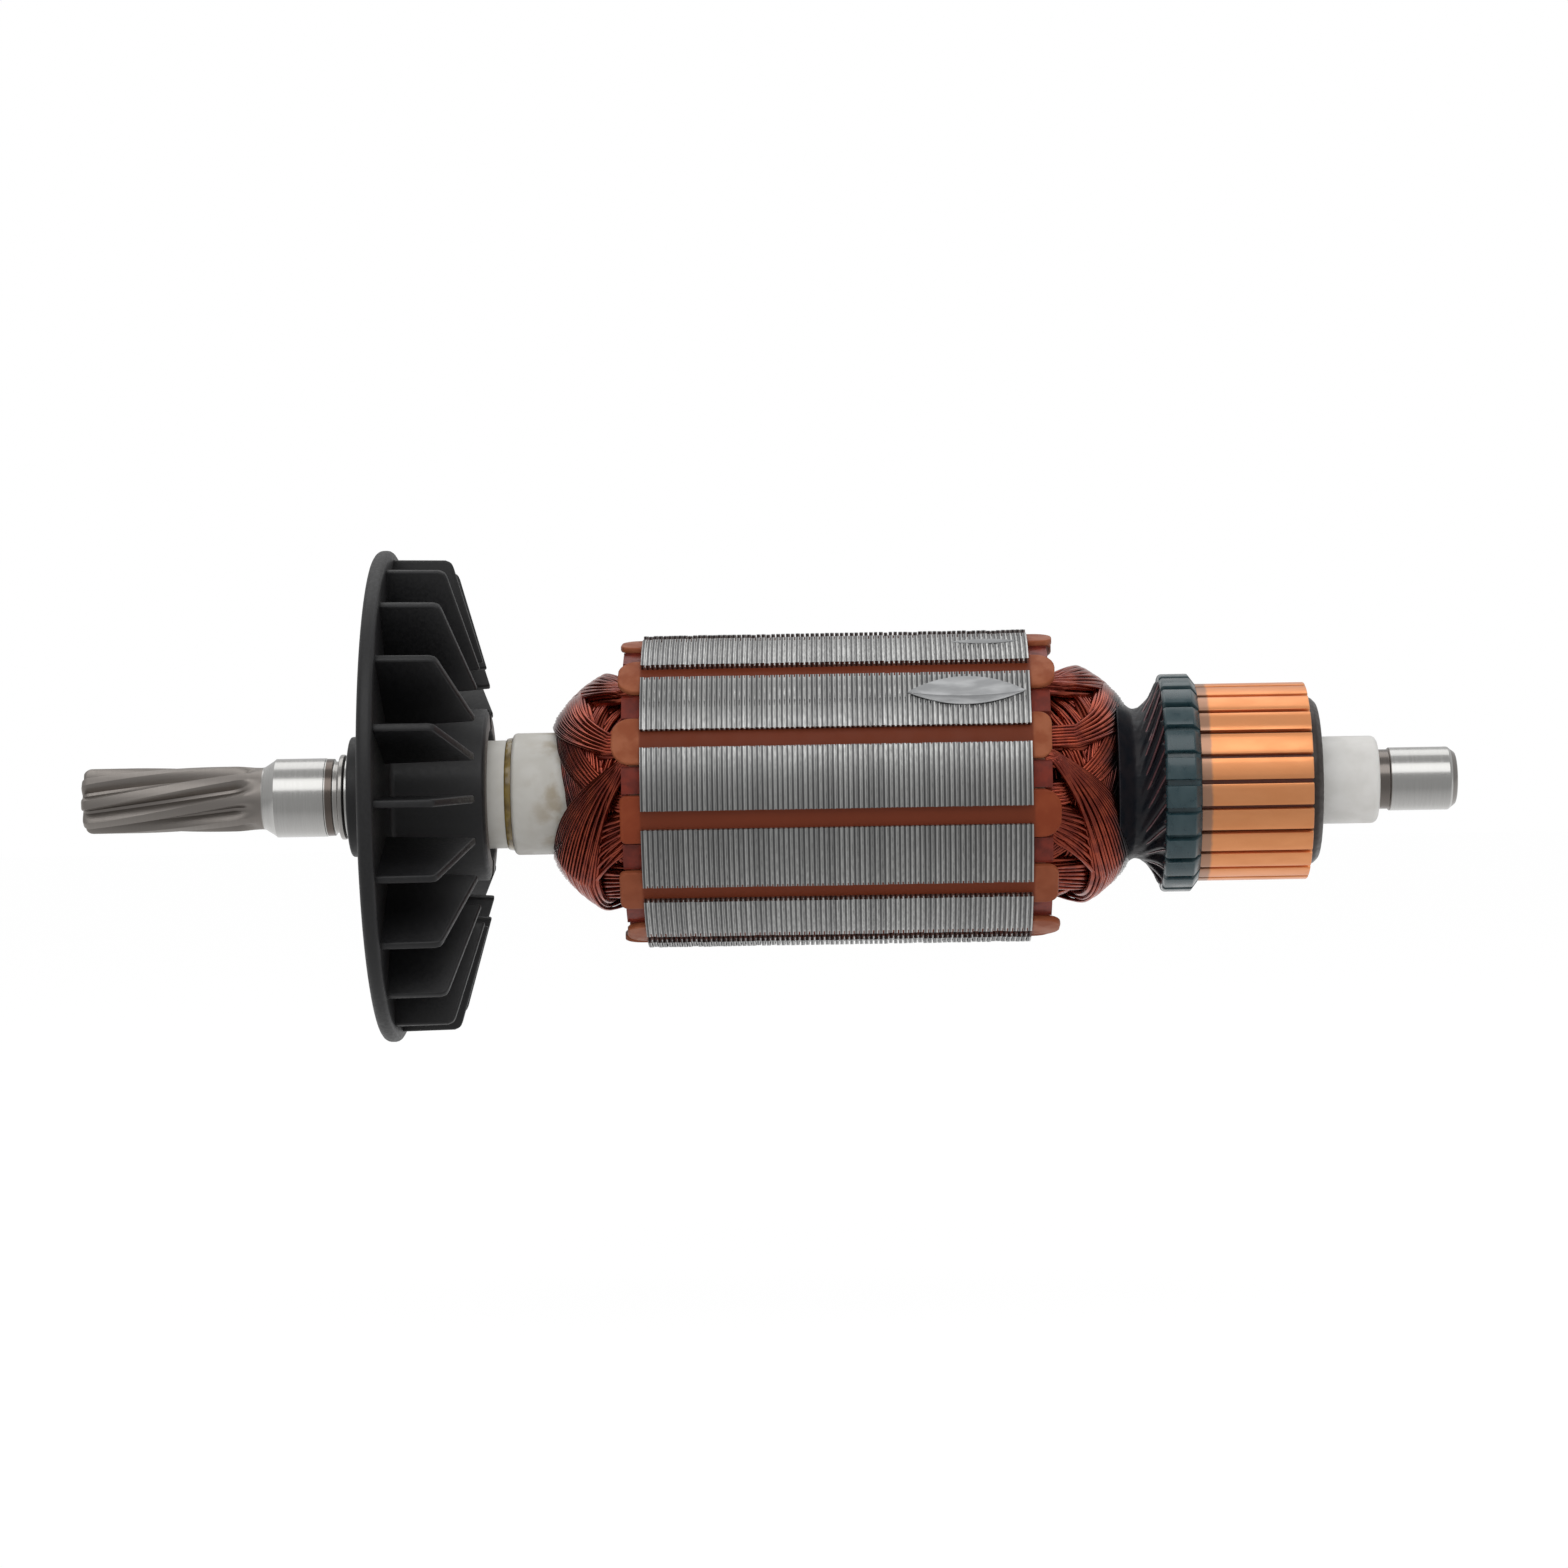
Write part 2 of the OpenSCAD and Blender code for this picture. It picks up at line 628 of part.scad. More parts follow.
// One lead: an eight-sided rod from the neck to the foot of its hook
module lead() {
    points = [for (i = [0:lead_steps]) lead_point(i / lead_steps)];
    rings = [for (i = [0:lead_steps])
        let (
            along = unit(points[min(lead_steps, i + 1)] - points[max(0, i - 1)]),
            out = unit([points[i][0], points[i][1], 0]),
            wide = unit(cross(along, out)),
            thin = cross(wide, along)
        )
        [for (k = [0:7]) points[i] + lead_d / 2 * (cos(45 * k) * wide + sin(45 * k) * thin)]];
    sides = 8;
    polyhedron(
        [for (ring = rings) for (p = ring) p],
        concat(
            [[for (k = [sides - 1:-1:0]) k]],
            [for (i = [0:lead_steps - 1]) for (k = [0:sides - 1])
                let (a = i * sides, b = a + sides, m = (k + 1) % sides)
                [a + k, a + m, b + m, b + k]],
            [[for (k = [0:sides - 1]) lead_steps * sides + k]]
        )
    );
}

module coil_leads() {
    color("#3a2a30") along_x()
        for (i = [0:BARS - 1]) rotate([0, 0, bar_phase + i * bar_pitch]) lead();
}

// Resin: a neck behind the coil heads, and a band that fills the spaces between the hooks
module lead_resin() {
    color("#22343c") along_x() difference() {
        rotate_extrude() {
            polygon([
                [sleeve_d / 2 + fit_gap, heads_end + 0.05], [neck_r, heads_end + 0.05],
                [neck_r, neck_resin_end], [sleeve_d / 2 + fit_gap, neck_resin_end]
            ]);
            polygon([
                [track_d / 2 + seat_gap, bar_start], [hook_top_r - 0.6, bar_start],
                [hook_top_r - 0.5, bar_start + hook_len - hook_slope],
                [track_d / 2 + seat_gap, bar_start + hook_len]
            ]);
        }
        for (i = [0:BARS - 1]) rotate([0, 0, bar_phase + i * bar_pitch])
            rotate([90, 0, 0]) linear_extrude(hook_w, center = true) hook_outline();
    }
}

module end_bush() {
    bush_start = ring_end - 2.5 + seat_gap;
    color("#e9e8e4") turned([
        [comm_seat_d / 2 + fit_gap, bush_start], [bush_d / 2, bush_start],
        [bush_d / 2, bush_end - 0.9], [bush_d / 2 - 0.3, bush_end - 0.25],
        [bush_d / 2 - 0.95, bush_end], [comm_seat_d / 2 + fit_gap, bush_end]
    ]);
}

shaft();
fan();
drive_sleeve();
varnish_ring();
core();
end_insulator(core_start - insulator_t);  // drive_end_insulator
end_insulator(core_end);  // commutator_end_insulator
slot_liners();
for (n = [1:SLOTS]) {
    slot_wedge(n);
    coil(n);
}
for (n = [1:BARS])
    commutator_bar(n);
commutator_moulding();
coil_leads();
lead_resin();
end_bush();
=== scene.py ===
"""Dresses a wound power-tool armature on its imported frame.

The shaft lies along X with its pinion on the left. Each sub-assembly is a class that holds its
own sizes and builds its own meshes; each finish is a small frozen dataclass.
"""

import json
import logging
import math
import random
from dataclasses import dataclass, field, replace
from enum import Enum
from typing import Callable, Iterable, Sequence

import bmesh
import bpy
from bmesh.types import BMEdge, BMVert
from mathutils import Matrix, Vector


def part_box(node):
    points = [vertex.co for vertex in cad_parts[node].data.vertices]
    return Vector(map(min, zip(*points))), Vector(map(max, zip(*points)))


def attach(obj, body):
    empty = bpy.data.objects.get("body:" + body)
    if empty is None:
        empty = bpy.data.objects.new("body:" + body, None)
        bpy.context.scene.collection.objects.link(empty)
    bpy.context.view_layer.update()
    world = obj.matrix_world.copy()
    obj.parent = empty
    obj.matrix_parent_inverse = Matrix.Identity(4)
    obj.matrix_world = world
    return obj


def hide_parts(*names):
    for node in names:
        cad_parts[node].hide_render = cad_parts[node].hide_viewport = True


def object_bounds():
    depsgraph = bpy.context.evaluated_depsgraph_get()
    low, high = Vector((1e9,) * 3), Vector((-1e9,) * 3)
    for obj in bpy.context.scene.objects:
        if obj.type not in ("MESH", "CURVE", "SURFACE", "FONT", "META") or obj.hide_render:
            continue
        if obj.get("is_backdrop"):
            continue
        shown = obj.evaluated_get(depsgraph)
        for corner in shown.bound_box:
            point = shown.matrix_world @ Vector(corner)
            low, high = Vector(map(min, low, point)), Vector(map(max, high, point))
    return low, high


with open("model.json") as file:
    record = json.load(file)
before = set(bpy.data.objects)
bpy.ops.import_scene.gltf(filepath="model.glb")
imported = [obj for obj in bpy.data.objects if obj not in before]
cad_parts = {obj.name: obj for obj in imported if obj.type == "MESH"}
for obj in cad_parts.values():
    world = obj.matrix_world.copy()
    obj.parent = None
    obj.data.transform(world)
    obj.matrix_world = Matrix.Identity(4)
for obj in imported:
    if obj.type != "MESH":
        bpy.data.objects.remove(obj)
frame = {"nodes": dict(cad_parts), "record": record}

log = logging.getLogger("armature")
MM = 0.001
TURN = 2 * math.pi
AXIS = Vector((1, 0, 0))
Pair = tuple[float, float]
Triple = tuple[float, float, float]
Colour = Triple
Mesh = bmesh.types.BMesh
Socket = bpy.types.NodeSocket
Material = bpy.types.Material


class End(Enum):
    """The two ends of the core, as the direction in which a coil head leaves it."""

    DRIVE = -1
    COMMUTATOR = 1


# ---------------------------------------------------------------- stations


@dataclass(frozen=True)
class Stations:
    """Places along the shaft and main radii in millimetres, read from the frame."""

    tip: float
    far_end: float
    comm_seat_start: float
    comm_seat_end: float
    fan_start: float
    fan_end: float
    fan_r: float
    sleeve_start: float
    sleeve_end: float
    core_start: float
    core_end: float
    core_r: float
    bar_start: float
    bar_end: float
    ring_end: float
    bush_end: float
    track_r: float = 12.5

    @classmethod
    def from_frame(cls) -> "Stations":
        """Reads the stations from the boxes of the frame's nodes.

        Returns:
            The stations of this frame.
        """

        def span(node: str) -> Triple:
            """Start, end and radius of a node in millimetres."""
            low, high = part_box(node)
            return low.x / MM, high.x / MM, (high.z - low.z) / 2 / MM

        shaft, fan, sleeve = span("shaft"), span("fan"), span("drive_sleeve")
        core, bar = span("core"), span("commutator_bar_01")
        mounts = {m["name"]: m for m in frame["record"]["mounts"]}
        seat = mounts["commutator_bearing_seat"]
        middle = seat["pos_m"][0] / MM
        half_seat = seat["dims"]["length_mm"] / 2
        return cls(
            tip=shaft[0], far_end=shaft[1],
            comm_seat_start=middle - half_seat, comm_seat_end=middle + half_seat,
            fan_start=fan[0], fan_end=fan[1], fan_r=fan[2],
            sleeve_start=sleeve[0], sleeve_end=sleeve[1],
            core_start=core[0], core_end=core[1], core_r=core[2],
            bar_start=bar[0], bar_end=bar[1],
            ring_end=span("commutator_moulding")[1],
            bush_end=span("end_bush")[1],
        )


SLOTS = 12
BARS = 24
SLOT_PITCH = TURN / SLOTS
SLOT_1 = math.radians(-19.5)


def round_axis(station: float, radius: float, angle: float) -> Vector:
    """A point from its place along and round the shaft.

    Args:
        station: distance along X in millimetres.
        radius: distance from the axis in millimetres.
        angle: radians round the axis, 0 at the front (-Y) and growing downwards.

    Returns:
        The point in metres.
    """
    return Vector((station, -radius * math.cos(angle), -radius * math.sin(angle))) * MM


def slot_angle(number: float) -> float:
    """Angle of the middle of a slot, counted from 1."""
    return SLOT_1 + (number - 1) * SLOT_PITCH


def mix(a: float, b: float, f: float) -> float:
    """The value a share f of the way from a to b."""
    return a + (b - a) * f


def smooth(f: float) -> float:
    """A share eased in and out, and held within 0 and 1."""
    f = max(0.0, min(1.0, f))
    return f * f * (3 - 2 * f)


def smooth_start(f: float) -> float:
    """A share that starts slowly, so that the first slices lie close together."""
    return f * f * (1.6 - 0.6 * f)


# ---------------------------------------------------------------- mesh helpers


def turned(profile: Sequence[Triple], steps: int = 120) -> Mesh:
    """Spins a profile round the shaft.

    Args:
        profile: corners as (station, radius, rounding) in millimetres. A profile whose ends both
            lie on the axis stays open; any other one is closed.
        steps: divisions of the full turn.

    Returns:
        A closed mesh in metres.
    """
    bm = bmesh.new()
    corners = [bm.verts.new((x * MM, 0, r * MM)) for x, r, _ in profile]
    on_axis = profile[0][1] == 0 and profile[-1][1] == 0
    ring = corners if on_axis else corners + corners[:1]
    for a, b in zip(ring, ring[1:]):
        bm.edges.new((a, b))
    for corner, (_, _, rounding) in zip(corners, profile):
        if rounding > 0:
            bmesh.ops.bevel(
                bm, geom=[corner], offset=rounding * MM, offset_type="OFFSET", segments=4,
                profile=0.5, affect="VERTICES", material=-1,
            )
    bmesh.ops.spin(
        bm, geom=bm.verts[:] + bm.edges[:], cent=(0, 0, 0), axis=AXIS, dvec=(0, 0, 0),
        angle=TURN, steps=steps, use_merge=True, use_duplicate=False,
    )
    bmesh.ops.remove_doubles(bm, verts=bm.verts, dist=1e-7)
    bmesh.ops.recalc_face_normals(bm, faces=bm.faces)
    return bm


def pull(bm: Mesh, way: Vector) -> None:
    """Extrudes a flat mesh by a vector in metres into a closed body.

    Args:
        bm: the flat mesh, changed here.
        way: how far it is pulled, in metres.
    """
    made = bmesh.ops.extrude_face_region(bm, geom=bm.faces[:])["geom"]
    bmesh.ops.translate(bm, verts=[g for g in made if isinstance(g, BMVert)], vec=way)
    bmesh.ops.recalc_face_normals(bm, faces=bm.faces)


def prism(outline: Sequence[Vector], depth: Vector) -> Mesh:
    """Extrudes a flat outline.

    Args:
        outline: corners in order, in metres.
        depth: the way the outline is pulled, in metres.

    Returns:
        A closed mesh.
    """
    bm = bmesh.new()
    bm.faces.new([bm.verts.new(corner) for corner in outline])
    pull(bm, depth)
    return bm


def slab(outline: Sequence[Pair], width: float) -> Mesh:
    """A slab that stands at the front of the shaft.

    Args:
        outline: its side as (station, radius) in millimetres.
        width: millimetres from side to side.

    Returns:
        A closed mesh in metres.
    """
    side = Vector((0, 0, width / 2 * MM))
    return prism([round_axis(x, r, 0) - side for x, r in outline], side * 2)


def soften(bm: Mesh, width: float, segments: int = 2, angle: float = 30) -> None:
    """Rounds every edge that is sharper than an angle.

    Args:
        bm: the mesh to change.
        width: size of the rounding in millimetres.
        segments: faces across the rounding.
        angle: smallest angle in degrees between two faces that counts as an edge.
    """
    limit = math.radians(angle)
    sharp = [e for e in bm.edges if len(e.link_faces) == 2 and e.calc_face_angle(0) > limit]
    bmesh.ops.bevel(
        bm, geom=sharp, offset=width * MM, offset_type="OFFSET", segments=segments,
        profile=0.5, affect="EDGES", clamp_overlap=True, material=-1,
    )


def turn_round(bm: Mesh, angle: float) -> None:
    """Turns a mesh round the shaft's axis by an angle in radians."""
    bmesh.ops.rotate(bm, verts=bm.verts, cent=(0, 0, 0), matrix=Matrix.Rotation(angle, 3, AXIS))


def stored(bm: Mesh, name: str) -> bpy.types.Mesh:
    """Stores a working mesh under a name and frees it.

    Args:
        bm: the working mesh, freed here.
        name: the stored mesh's name.

    Returns:
        The stored mesh.
    """
    mesh = bpy.data.meshes.new(name)
    bm.to_mesh(mesh)
    bm.free()
    return mesh


def placed(name: str, data: bpy.types.ID) -> bpy.types.Object:
    """Adds an object that holds the data to the scene.

    Args:
        name: the object's name.
        data: its mesh, curve, camera or light.

    Returns:
        The new object.
    """
    piece = bpy.data.objects.new(name, data)
    bpy.context.scene.collection.objects.link(piece)
    return piece


def evaluated(piece: bpy.types.Object) -> Mesh:
    """The shape of an object with its modifiers, as a working mesh.

    Args:
        piece: the object, which stays as it is.

    Returns:
        A new working mesh.
    """
    bpy.context.view_layer.update()
    final = piece.evaluated_get(bpy.context.evaluated_depsgraph_get())
    mesh = bpy.data.meshes.new_from_object(final)
    bm = bmesh.new()
    bm.from_mesh(mesh)
    bpy.data.meshes.remove(mesh)
    return bm


def join(target: Mesh, part: Mesh) -> None:
    """Moves a mesh into another one and frees it.

    Args:
        target: the mesh that grows.
        part: the mesh that goes into it.
    """
    spare = stored(part, "spare")
    target.from_mesh(spare)
    bpy.data.meshes.remove(spare)


def join_round(target: Mesh, make: Callable[[], Mesh], angles: Iterable[float]) -> None:
    """Makes a piece for each angle round the shaft, turns it there and joins it to a mesh.

    Args:
        target: the mesh that grows.
        make: gives a new piece at the front.
        angles: radians round the axis.
    """
    for angle in angles:
        piece = make()
        turn_round(piece, angle)
        join(target, piece)


def tubes(paths: Sequence[Sequence[Vector]], radius: float, sides: int = 6) -> Mesh:
    """Round wires along smooth paths.

    Args:
        paths: the points that each wire follows, in metres.
        radius: a wire's radius in millimetres.
        sides: 4, 6 or 8 faces round a wire.

    Returns:
        One mesh with all the wires, closed at their ends.
    """
    curve = bpy.data.curves.new("wires", "CURVE")
    curve.dimensions = "3D"
    curve.bevel_depth = radius * MM
    curve.bevel_resolution = (sides - 4) // 2
    curve.use_fill_caps = True
    curve.resolution_u = 1
    for path in paths:
        spline = curve.splines.new("NURBS")
        spline.points.add(len(path) - 1)
        for point, place in zip(spline.points, path):
            point.co = (*place, 1)
        spline.order_u = 3
        spline.use_endpoint_u = True
    bm = evaluated(placed("wires", curve))
    bpy.data.curves.remove(curve)
    return bm


def carved(body: Mesh, tool: Mesh) -> Mesh:
    """Takes the space of one closed mesh out of another; both are freed.

    Args:
        body: the closed mesh that is cut.
        tool: the closed mesh whose space goes.

    Returns:
        What is left of the body.
    """
    pieces = [placed(name, stored(bm, name)) for name, bm in (("body", body), ("tool", tool))]
    cut = pieces[0].modifiers.new("cut", "BOOLEAN")
    cut.operation, cut.solver, cut.object = "DIFFERENCE", "EXACT", pieces[1]
    result = evaluated(pieces[0])
    for piece in pieces:
        bpy.data.meshes.remove(piece.data)
    return result


# ---------------------------------------------------------------- finishes


def add_node(
    tree: bpy.types.NodeTree, kind: str, inputs: dict[str | int, object] | None = None,
    **settings: object,
) -> bpy.types.Node:
    """Adds a node to a tree.

    Args:
        tree: where it goes.
        kind: Blender's name for its type.
        inputs: a constant or an output for each input, by name or by place.
        settings: values of the node's own settings.

    Returns:
        The new node.
    """
    node = tree.nodes.new(kind)
    for name, value in settings.items():
        setattr(node, name, value)
    for key, value in (inputs or {}).items():
        feed(tree, node.inputs[key], value)
    return node


def feed(tree: bpy.types.NodeTree, socket: Socket, value: object) -> None:
    """Links an output to a socket, or sets the socket to a constant.

    Args:
        tree: where the socket is.
        socket: the input.
        value: an output or a constant.
    """
    if isinstance(value, Socket):
        tree.links.new(value, socket)
    else:
        socket.default_value = value


def emptied(owner: bpy.types.ID) -> bpy.types.NodeTree:
    """Turns on a material's or a world's nodes and clears them.

    Args:
        owner: the material or the world.

    Returns:
        Its empty node tree.
    """
    owner.use_nodes = True
    owner.node_tree.nodes.clear()
    return owner.node_tree


def map_range(
    tree: bpy.types.NodeTree, source: Socket, low: float, high: float, to: Pair,
    curve: str = "SMOOTHSTEP",
) -> Socket:
    """Maps a range onto another one and holds it there.

    Args:
        tree: where the node goes.
        source: the output that is mapped.
        low: the value that gives the first of to.
        high: the value that gives the second of to.
        to: the range that comes out.
        curve: Blender's name for the way between them.

    Returns:
        The mapped output.
    """
    return add_node(tree, "ShaderNodeMapRange", {
        "Value": source, "From Min": low, "From Max": high, "To Min": to[0], "To Max": to[1],
    }, interpolation_type=curve).outputs[0]


def seen_rays(tree: bpy.types.NodeTree, *others: str) -> Socket:
    """A share of 1 for camera rays and the other named kinds, and 0 for the rest.

    Args:
        tree: where the nodes go.
        others: outputs of Light Path beside the camera's.

    Returns:
        The share's output.
    """
    path = tree.nodes.new("ShaderNodeLightPath")
    share = path.outputs["Is Camera Ray"]
    for name in others:
        share = add_node(
            tree, "ShaderNodeMath", {0: share, 1: path.outputs[name]}, operation="MAXIMUM"
        ).outputs[0]
    return share


class Shader:
    """One node material round a Principled shader, with short ways to add textures."""

    def __init__(self, name: str) -> None:
        """Starts an empty material.

        Args:
            name: the material's name.
        """
        self.material = bpy.data.materials.new(name)
        self.tree = emptied(self.material)
        self.surface = self.add("ShaderNodeBsdfPrincipled")
        self.add("ShaderNodeOutputMaterial", {"Surface": self.surface.outputs[0]})
        self.place = self.add("ShaderNodeTexCoord").outputs["Object"]

    def add(
        self, kind: str, inputs: dict[str | int, object] | None = None, **settings: object
    ) -> bpy.types.Node:
        """Adds a node to the material."""
        return add_node(self.tree, kind, inputs, **settings)

    def set(self, **sockets: object) -> None:
        """Feeds sockets of the Principled shader, with _ for a space in a name."""
        for name, value in sockets.items():
            feed(self.tree, self.surface.inputs[name.replace("_", " ")], value)

    def noise(self, cells: float, stretch: Triple = (1, 1, 1), detail: float = 3) -> Socket:
        """Noise on object coordinates.

        Args:
            cells: cells a millimetre.
            stretch: factor on each axis, so that a low one draws the noise out along it.
            detail: octaves.

        Returns:
            The noise's value output.
        """
        mapping = self.add("ShaderNodeMapping", {"Vector": self.place, "Scale": stretch})
        return self.add("ShaderNodeTexNoise", {
            "Vector": mapping.outputs[0], "Scale": cells / MM, "Detail": detail,
        }).outputs[0]

    def math(self, operation: str, *values: object) -> Socket:
        """A Math node whose inputs are numbers or outputs."""
        return self.add("ShaderNodeMath", dict(enumerate(values)), operation=operation).outputs[0]

    def station(self) -> Socket:
        """Distance along the shaft in millimetres."""
        split = self.add("ShaderNodeSeparateXYZ", {0: self.place})
        return self.math("MULTIPLY", split.outputs["X"], 1 / MM)

    def radius(self) -> Socket:
        """Distance from the shaft's axis in millimetres.

        Returns:
            The distance's output.
        """
        across = (0, 1 / MM, 1 / MM)
        flat = self.add("ShaderNodeVectorMath", {0: self.place, 1: across}, operation="MULTIPLY")
        length = self.add("ShaderNodeVectorMath", {0: flat.outputs[0]}, operation="LENGTH")
        return length.outputs["Value"]

    def spread(self, source: Socket, low: float, high: float, to: Pair = (0, 1)) -> Socket:
        """Maps a range smoothly onto another one and holds it there."""
        return map_range(self.tree, source, low, high, to)

    def blend(self, share: Socket, first: object, second: object) -> Socket:
        """Mixes two colours, each a colour or an output, by a share.

        Args:
            share: 0 gives the first and 1 the second.
            first: a colour or an output.
            second: a colour or an output.

        Returns:
            The mixed colour's output.
        """
        node = self.add("ShaderNodeMix", {"Factor": share}, data_type="RGBA")
        for name, colour in (("A", first), ("B", second)):
            socket = next(s for s in node.inputs if s.name == name and s.type == "RGBA")
            feed(self.tree, socket, (*colour, 1) if isinstance(colour, tuple) else colour)
        return next(s for s in node.outputs if s.type == "RGBA")

    def bump(self, height: Socket, depth: float) -> None:
        """Bumps the surface by a height of up to depth millimetres."""
        node = self.add("ShaderNodeBump", {"Height": height, "Strength": 1, "Distance": depth * MM})
        self.set(Normal=node.outputs[0])


MADE: dict[str, Material] = {}


@dataclass(frozen=True)
class Finish:
    """A mottled finish: two colours, a range of roughness and a grain that also bumps."""

    name: str
    slot: str
    colour: Colour
    second: Colour
    cells: float = 1.0
    stretch: Triple = (1, 1, 1)
    rough: Pair = (0.4, 0.5)
    metallic: float = 0.0
    depth: float = 0.01
    coat: float = 0.0
    coat_rough: float = 0.15
    specular: float = 0.5
    worn: Pair = (0.3, 0.7)
    mottled: Pair = (0.35, 0.65)

    def material(self) -> Material:
        """The finish's material, made once."""
        if self.name not in MADE:
            MADE[self.name] = self.build()
        return MADE[self.name]

    def build(self) -> Material:
        """Makes the material: the base, and what a subclass lays over it.

        Returns:
            The new material.
        """
        shader = Shader(self.name)
        shader.set(
            Metallic=self.metallic, Specular_IOR_Level=self.specular,
            Coat_Weight=self.coat, Coat_Roughness=self.coat_rough,
        )
        grain = shader.noise(self.cells, self.stretch)
        rough = shader.spread(grain, *self.worn, self.rough)
        shader.set(Roughness=self.polish(shader, rough))
        colour = shader.blend(shader.spread(grain, *self.mottled), self.colour, self.second)
        shader.set(Base_Color=self.paint(shader, colour))
        shader.bump(self.relief(shader, grain), self.depth)
        return shader.material

    def paint(self, shader: Shader, colour: Socket) -> Socket:
        """Lays marks over the base colour; a plain finish has none."""
        return colour

    def polish(self, shader: Shader, rough: Socket) -> Socket:
        """Changes the roughness from place to place; a plain finish leaves it."""
        return rough

    def relief(self, shader: Shader, grain: Socket) -> Socket:
        """The height that bumps the surface; a plain finish uses its grain."""
        return grain


@dataclass(frozen=True)
class GroundSteel(Finish):
    """Ground steel, darker and duller on the pinion, browned beside the seats, with painted shade
    in the relief grooves.
    """

    pinion_end: float = -4.85
    dull: float = 0.26
    dark: Colour = (0.300, 0.275, 0.255)
    # brown of the bands: real browning, and painted shade in the relief grooves
    brown: Colour = (0.150, 0.125, 0.110)
    bands: tuple[Triple, ...] = (
        (3.62, 0.42, 1.0), (4.9, 0.65, 0.4), (137.1, 0.8, 0.85), (146.1, 0.42, 0.6)
    )

    def paint(self, shader: Shader, colour: Socket) -> Socket:
        """Darkens the pinion, then lays each band as (middle, half its length, strength).

        Args:
            shader: the material's nodes.
            colour: the base colour.

        Returns:
            The marked colour.
        """
        along, end = shader.station(), self.pinion_end
        colour = shader.blend(shader.spread(along, end - 0.25, end), self.dark, colour)
        # each band is brown, partly real browning and partly painted shade in the relief grooves
        for middle, half, strength in self.bands:
            off = shader.math("ABSOLUTE", shader.math("SUBTRACT", along, middle))
            share = shader.spread(off, half, half + 0.07, (strength, 0))
            colour = shader.blend(share, colour, self.brown)
        return colour

    def polish(self, shader: Shader, rough: Socket) -> Socket:
        """Leaves the pinion dull as it came from hardening.

        Args:
            shader: the material's nodes.
            rough: the base roughness.

        Returns:
            The changed roughness.
        """
        end = self.pinion_end
        extra = shader.spread(shader.station(), end - 0.3, end, (self.dull, 0))
        return shader.math("ADD", rough, extra)

    def relief(self, shader: Shader, grain: Socket) -> Socket:
        """Fine rings left by the grinding wheel."""
        return shader.noise(4.0, (3, 0.05, 0.05), 2)


@dataclass(frozen=True)
class StainedPlastic(Finish):
    """Pale moulded plastic with a faint stain that the varnish left near the windings."""

    stain_from: float = 28.0
    stain_to: float = 32.5
    stain: Colour = (0.44, 0.38, 0.29)

    def paint(self, shader: Shader, colour: Socket) -> Socket:
        """Lays the stain in blotches that grow towards the windings.

        Args:
            shader: the material's nodes.
            colour: the base colour.

        Returns:
            The marked colour.
        """
        near = shader.spread(shader.station(), self.stain_from, self.stain_to)
        blotch = shader.spread(shader.noise(0.35, detail=5), 0.42, 0.68)
        return shader.blend(shader.math("MULTIPLY", near, blotch), colour, self.stain)


@dataclass(frozen=True)
class SheetEdge(Finish):
    """The sheared edges of a stack of sheets: each sheet has its own tone, with painted shade
    beside the gaps between them.
    """

    start: float = 0.0
    pitch: float = 0.62
    # the sheets' darker tone, which is also the painted shade beside the gaps
    dark: Colour = (0.085, 0.085, 0.088)

    def paint(self, shader: Shader, colour: Socket) -> Socket:
        """Gives each sheet a tone, and paints shade beside the gaps.

        Args:
            shader: the material's nodes.
            colour: the base colour.

        Returns:
            The marked colour.
        """
        along = shader.math("SUBTRACT", shader.station(), self.start)
        count = shader.math("DIVIDE", along, self.pitch)
        sheet = shader.math("FLOOR", count)
        tone = shader.add("ShaderNodeTexWhiteNoise", {"W": sheet}, noise_dimensions="1D")
        share = shader.spread(tone.outputs[0], 0.0, 1.0, (0.0, 0.30))
        toned = shader.blend(share, colour, self.dark)
        beside = shader.math("ABSOLUTE", shader.math("SUBTRACT", shader.math("FRACT", count), 0.5))
        # painted shade: darker towards the gaps between the sheets
        return shader.blend(shader.spread(beside, 0.20, 0.37, (0.0, 0.92)), toned, self.dark)


@dataclass(frozen=True)
class WedgeFibre(Finish):
    """Fibre strip that is darker between the teeth, partly a soaked tone and partly painted shade
    of the recess, and bare at its tabs.
    """

    middle: float = 68.0
    half_len: float = 24.2
    # inside the core: a soaked fibre tone that also paints the shade between the teeth
    soaked: Colour = (0.172, 0.035, 0.0135)

    def paint(self, shader: Shader, colour: Socket) -> Socket:
        """Darkens the strip inside the core, partly as a soaked tone and partly as painted shade
        between the teeth.

        Args:
            shader: the material's nodes.
            colour: the base colour.

        Returns:
            The marked colour.
        """
        off = shader.math("ABSOLUTE", shader.math("SUBTRACT", shader.station(), self.middle))
        share = shader.spread(off, self.half_len - 0.1, self.half_len + 0.3)
        # painted shade between the teeth, mixed with the soaked tone
        return shader.blend(share, self.soaked, colour)


@dataclass(frozen=True)
class TrackCopper(Finish):
    """Turned copper with a browned strip beside the hooks."""

    strip_end: float = 114.7
    brown: Colour = (0.45, 0.25, 0.165)

    def paint(self, shader: Shader, colour: Socket) -> Socket:
        """Browns the strip that the resin has tinted, with an uneven edge.

        Args:
            shader: the material's nodes.
            colour: the base colour.

        Returns:
            The marked colour.
        """
        ragged = shader.spread(shader.noise(0.8), 0.3, 0.7, (-0.05, 0.05))
        edge = shader.math("ADD", shader.station(), ragged)
        share = shader.spread(edge, self.strip_end - 0.3, self.strip_end + 0.15)
        return shader.blend(share, self.brown, colour)

    def relief(self, shader: Shader, grain: Socket) -> Socket:
        """Fine rings left by the turning tool."""
        return shader.noise(6.0, (2.5, 0.03, 0.03), 2)


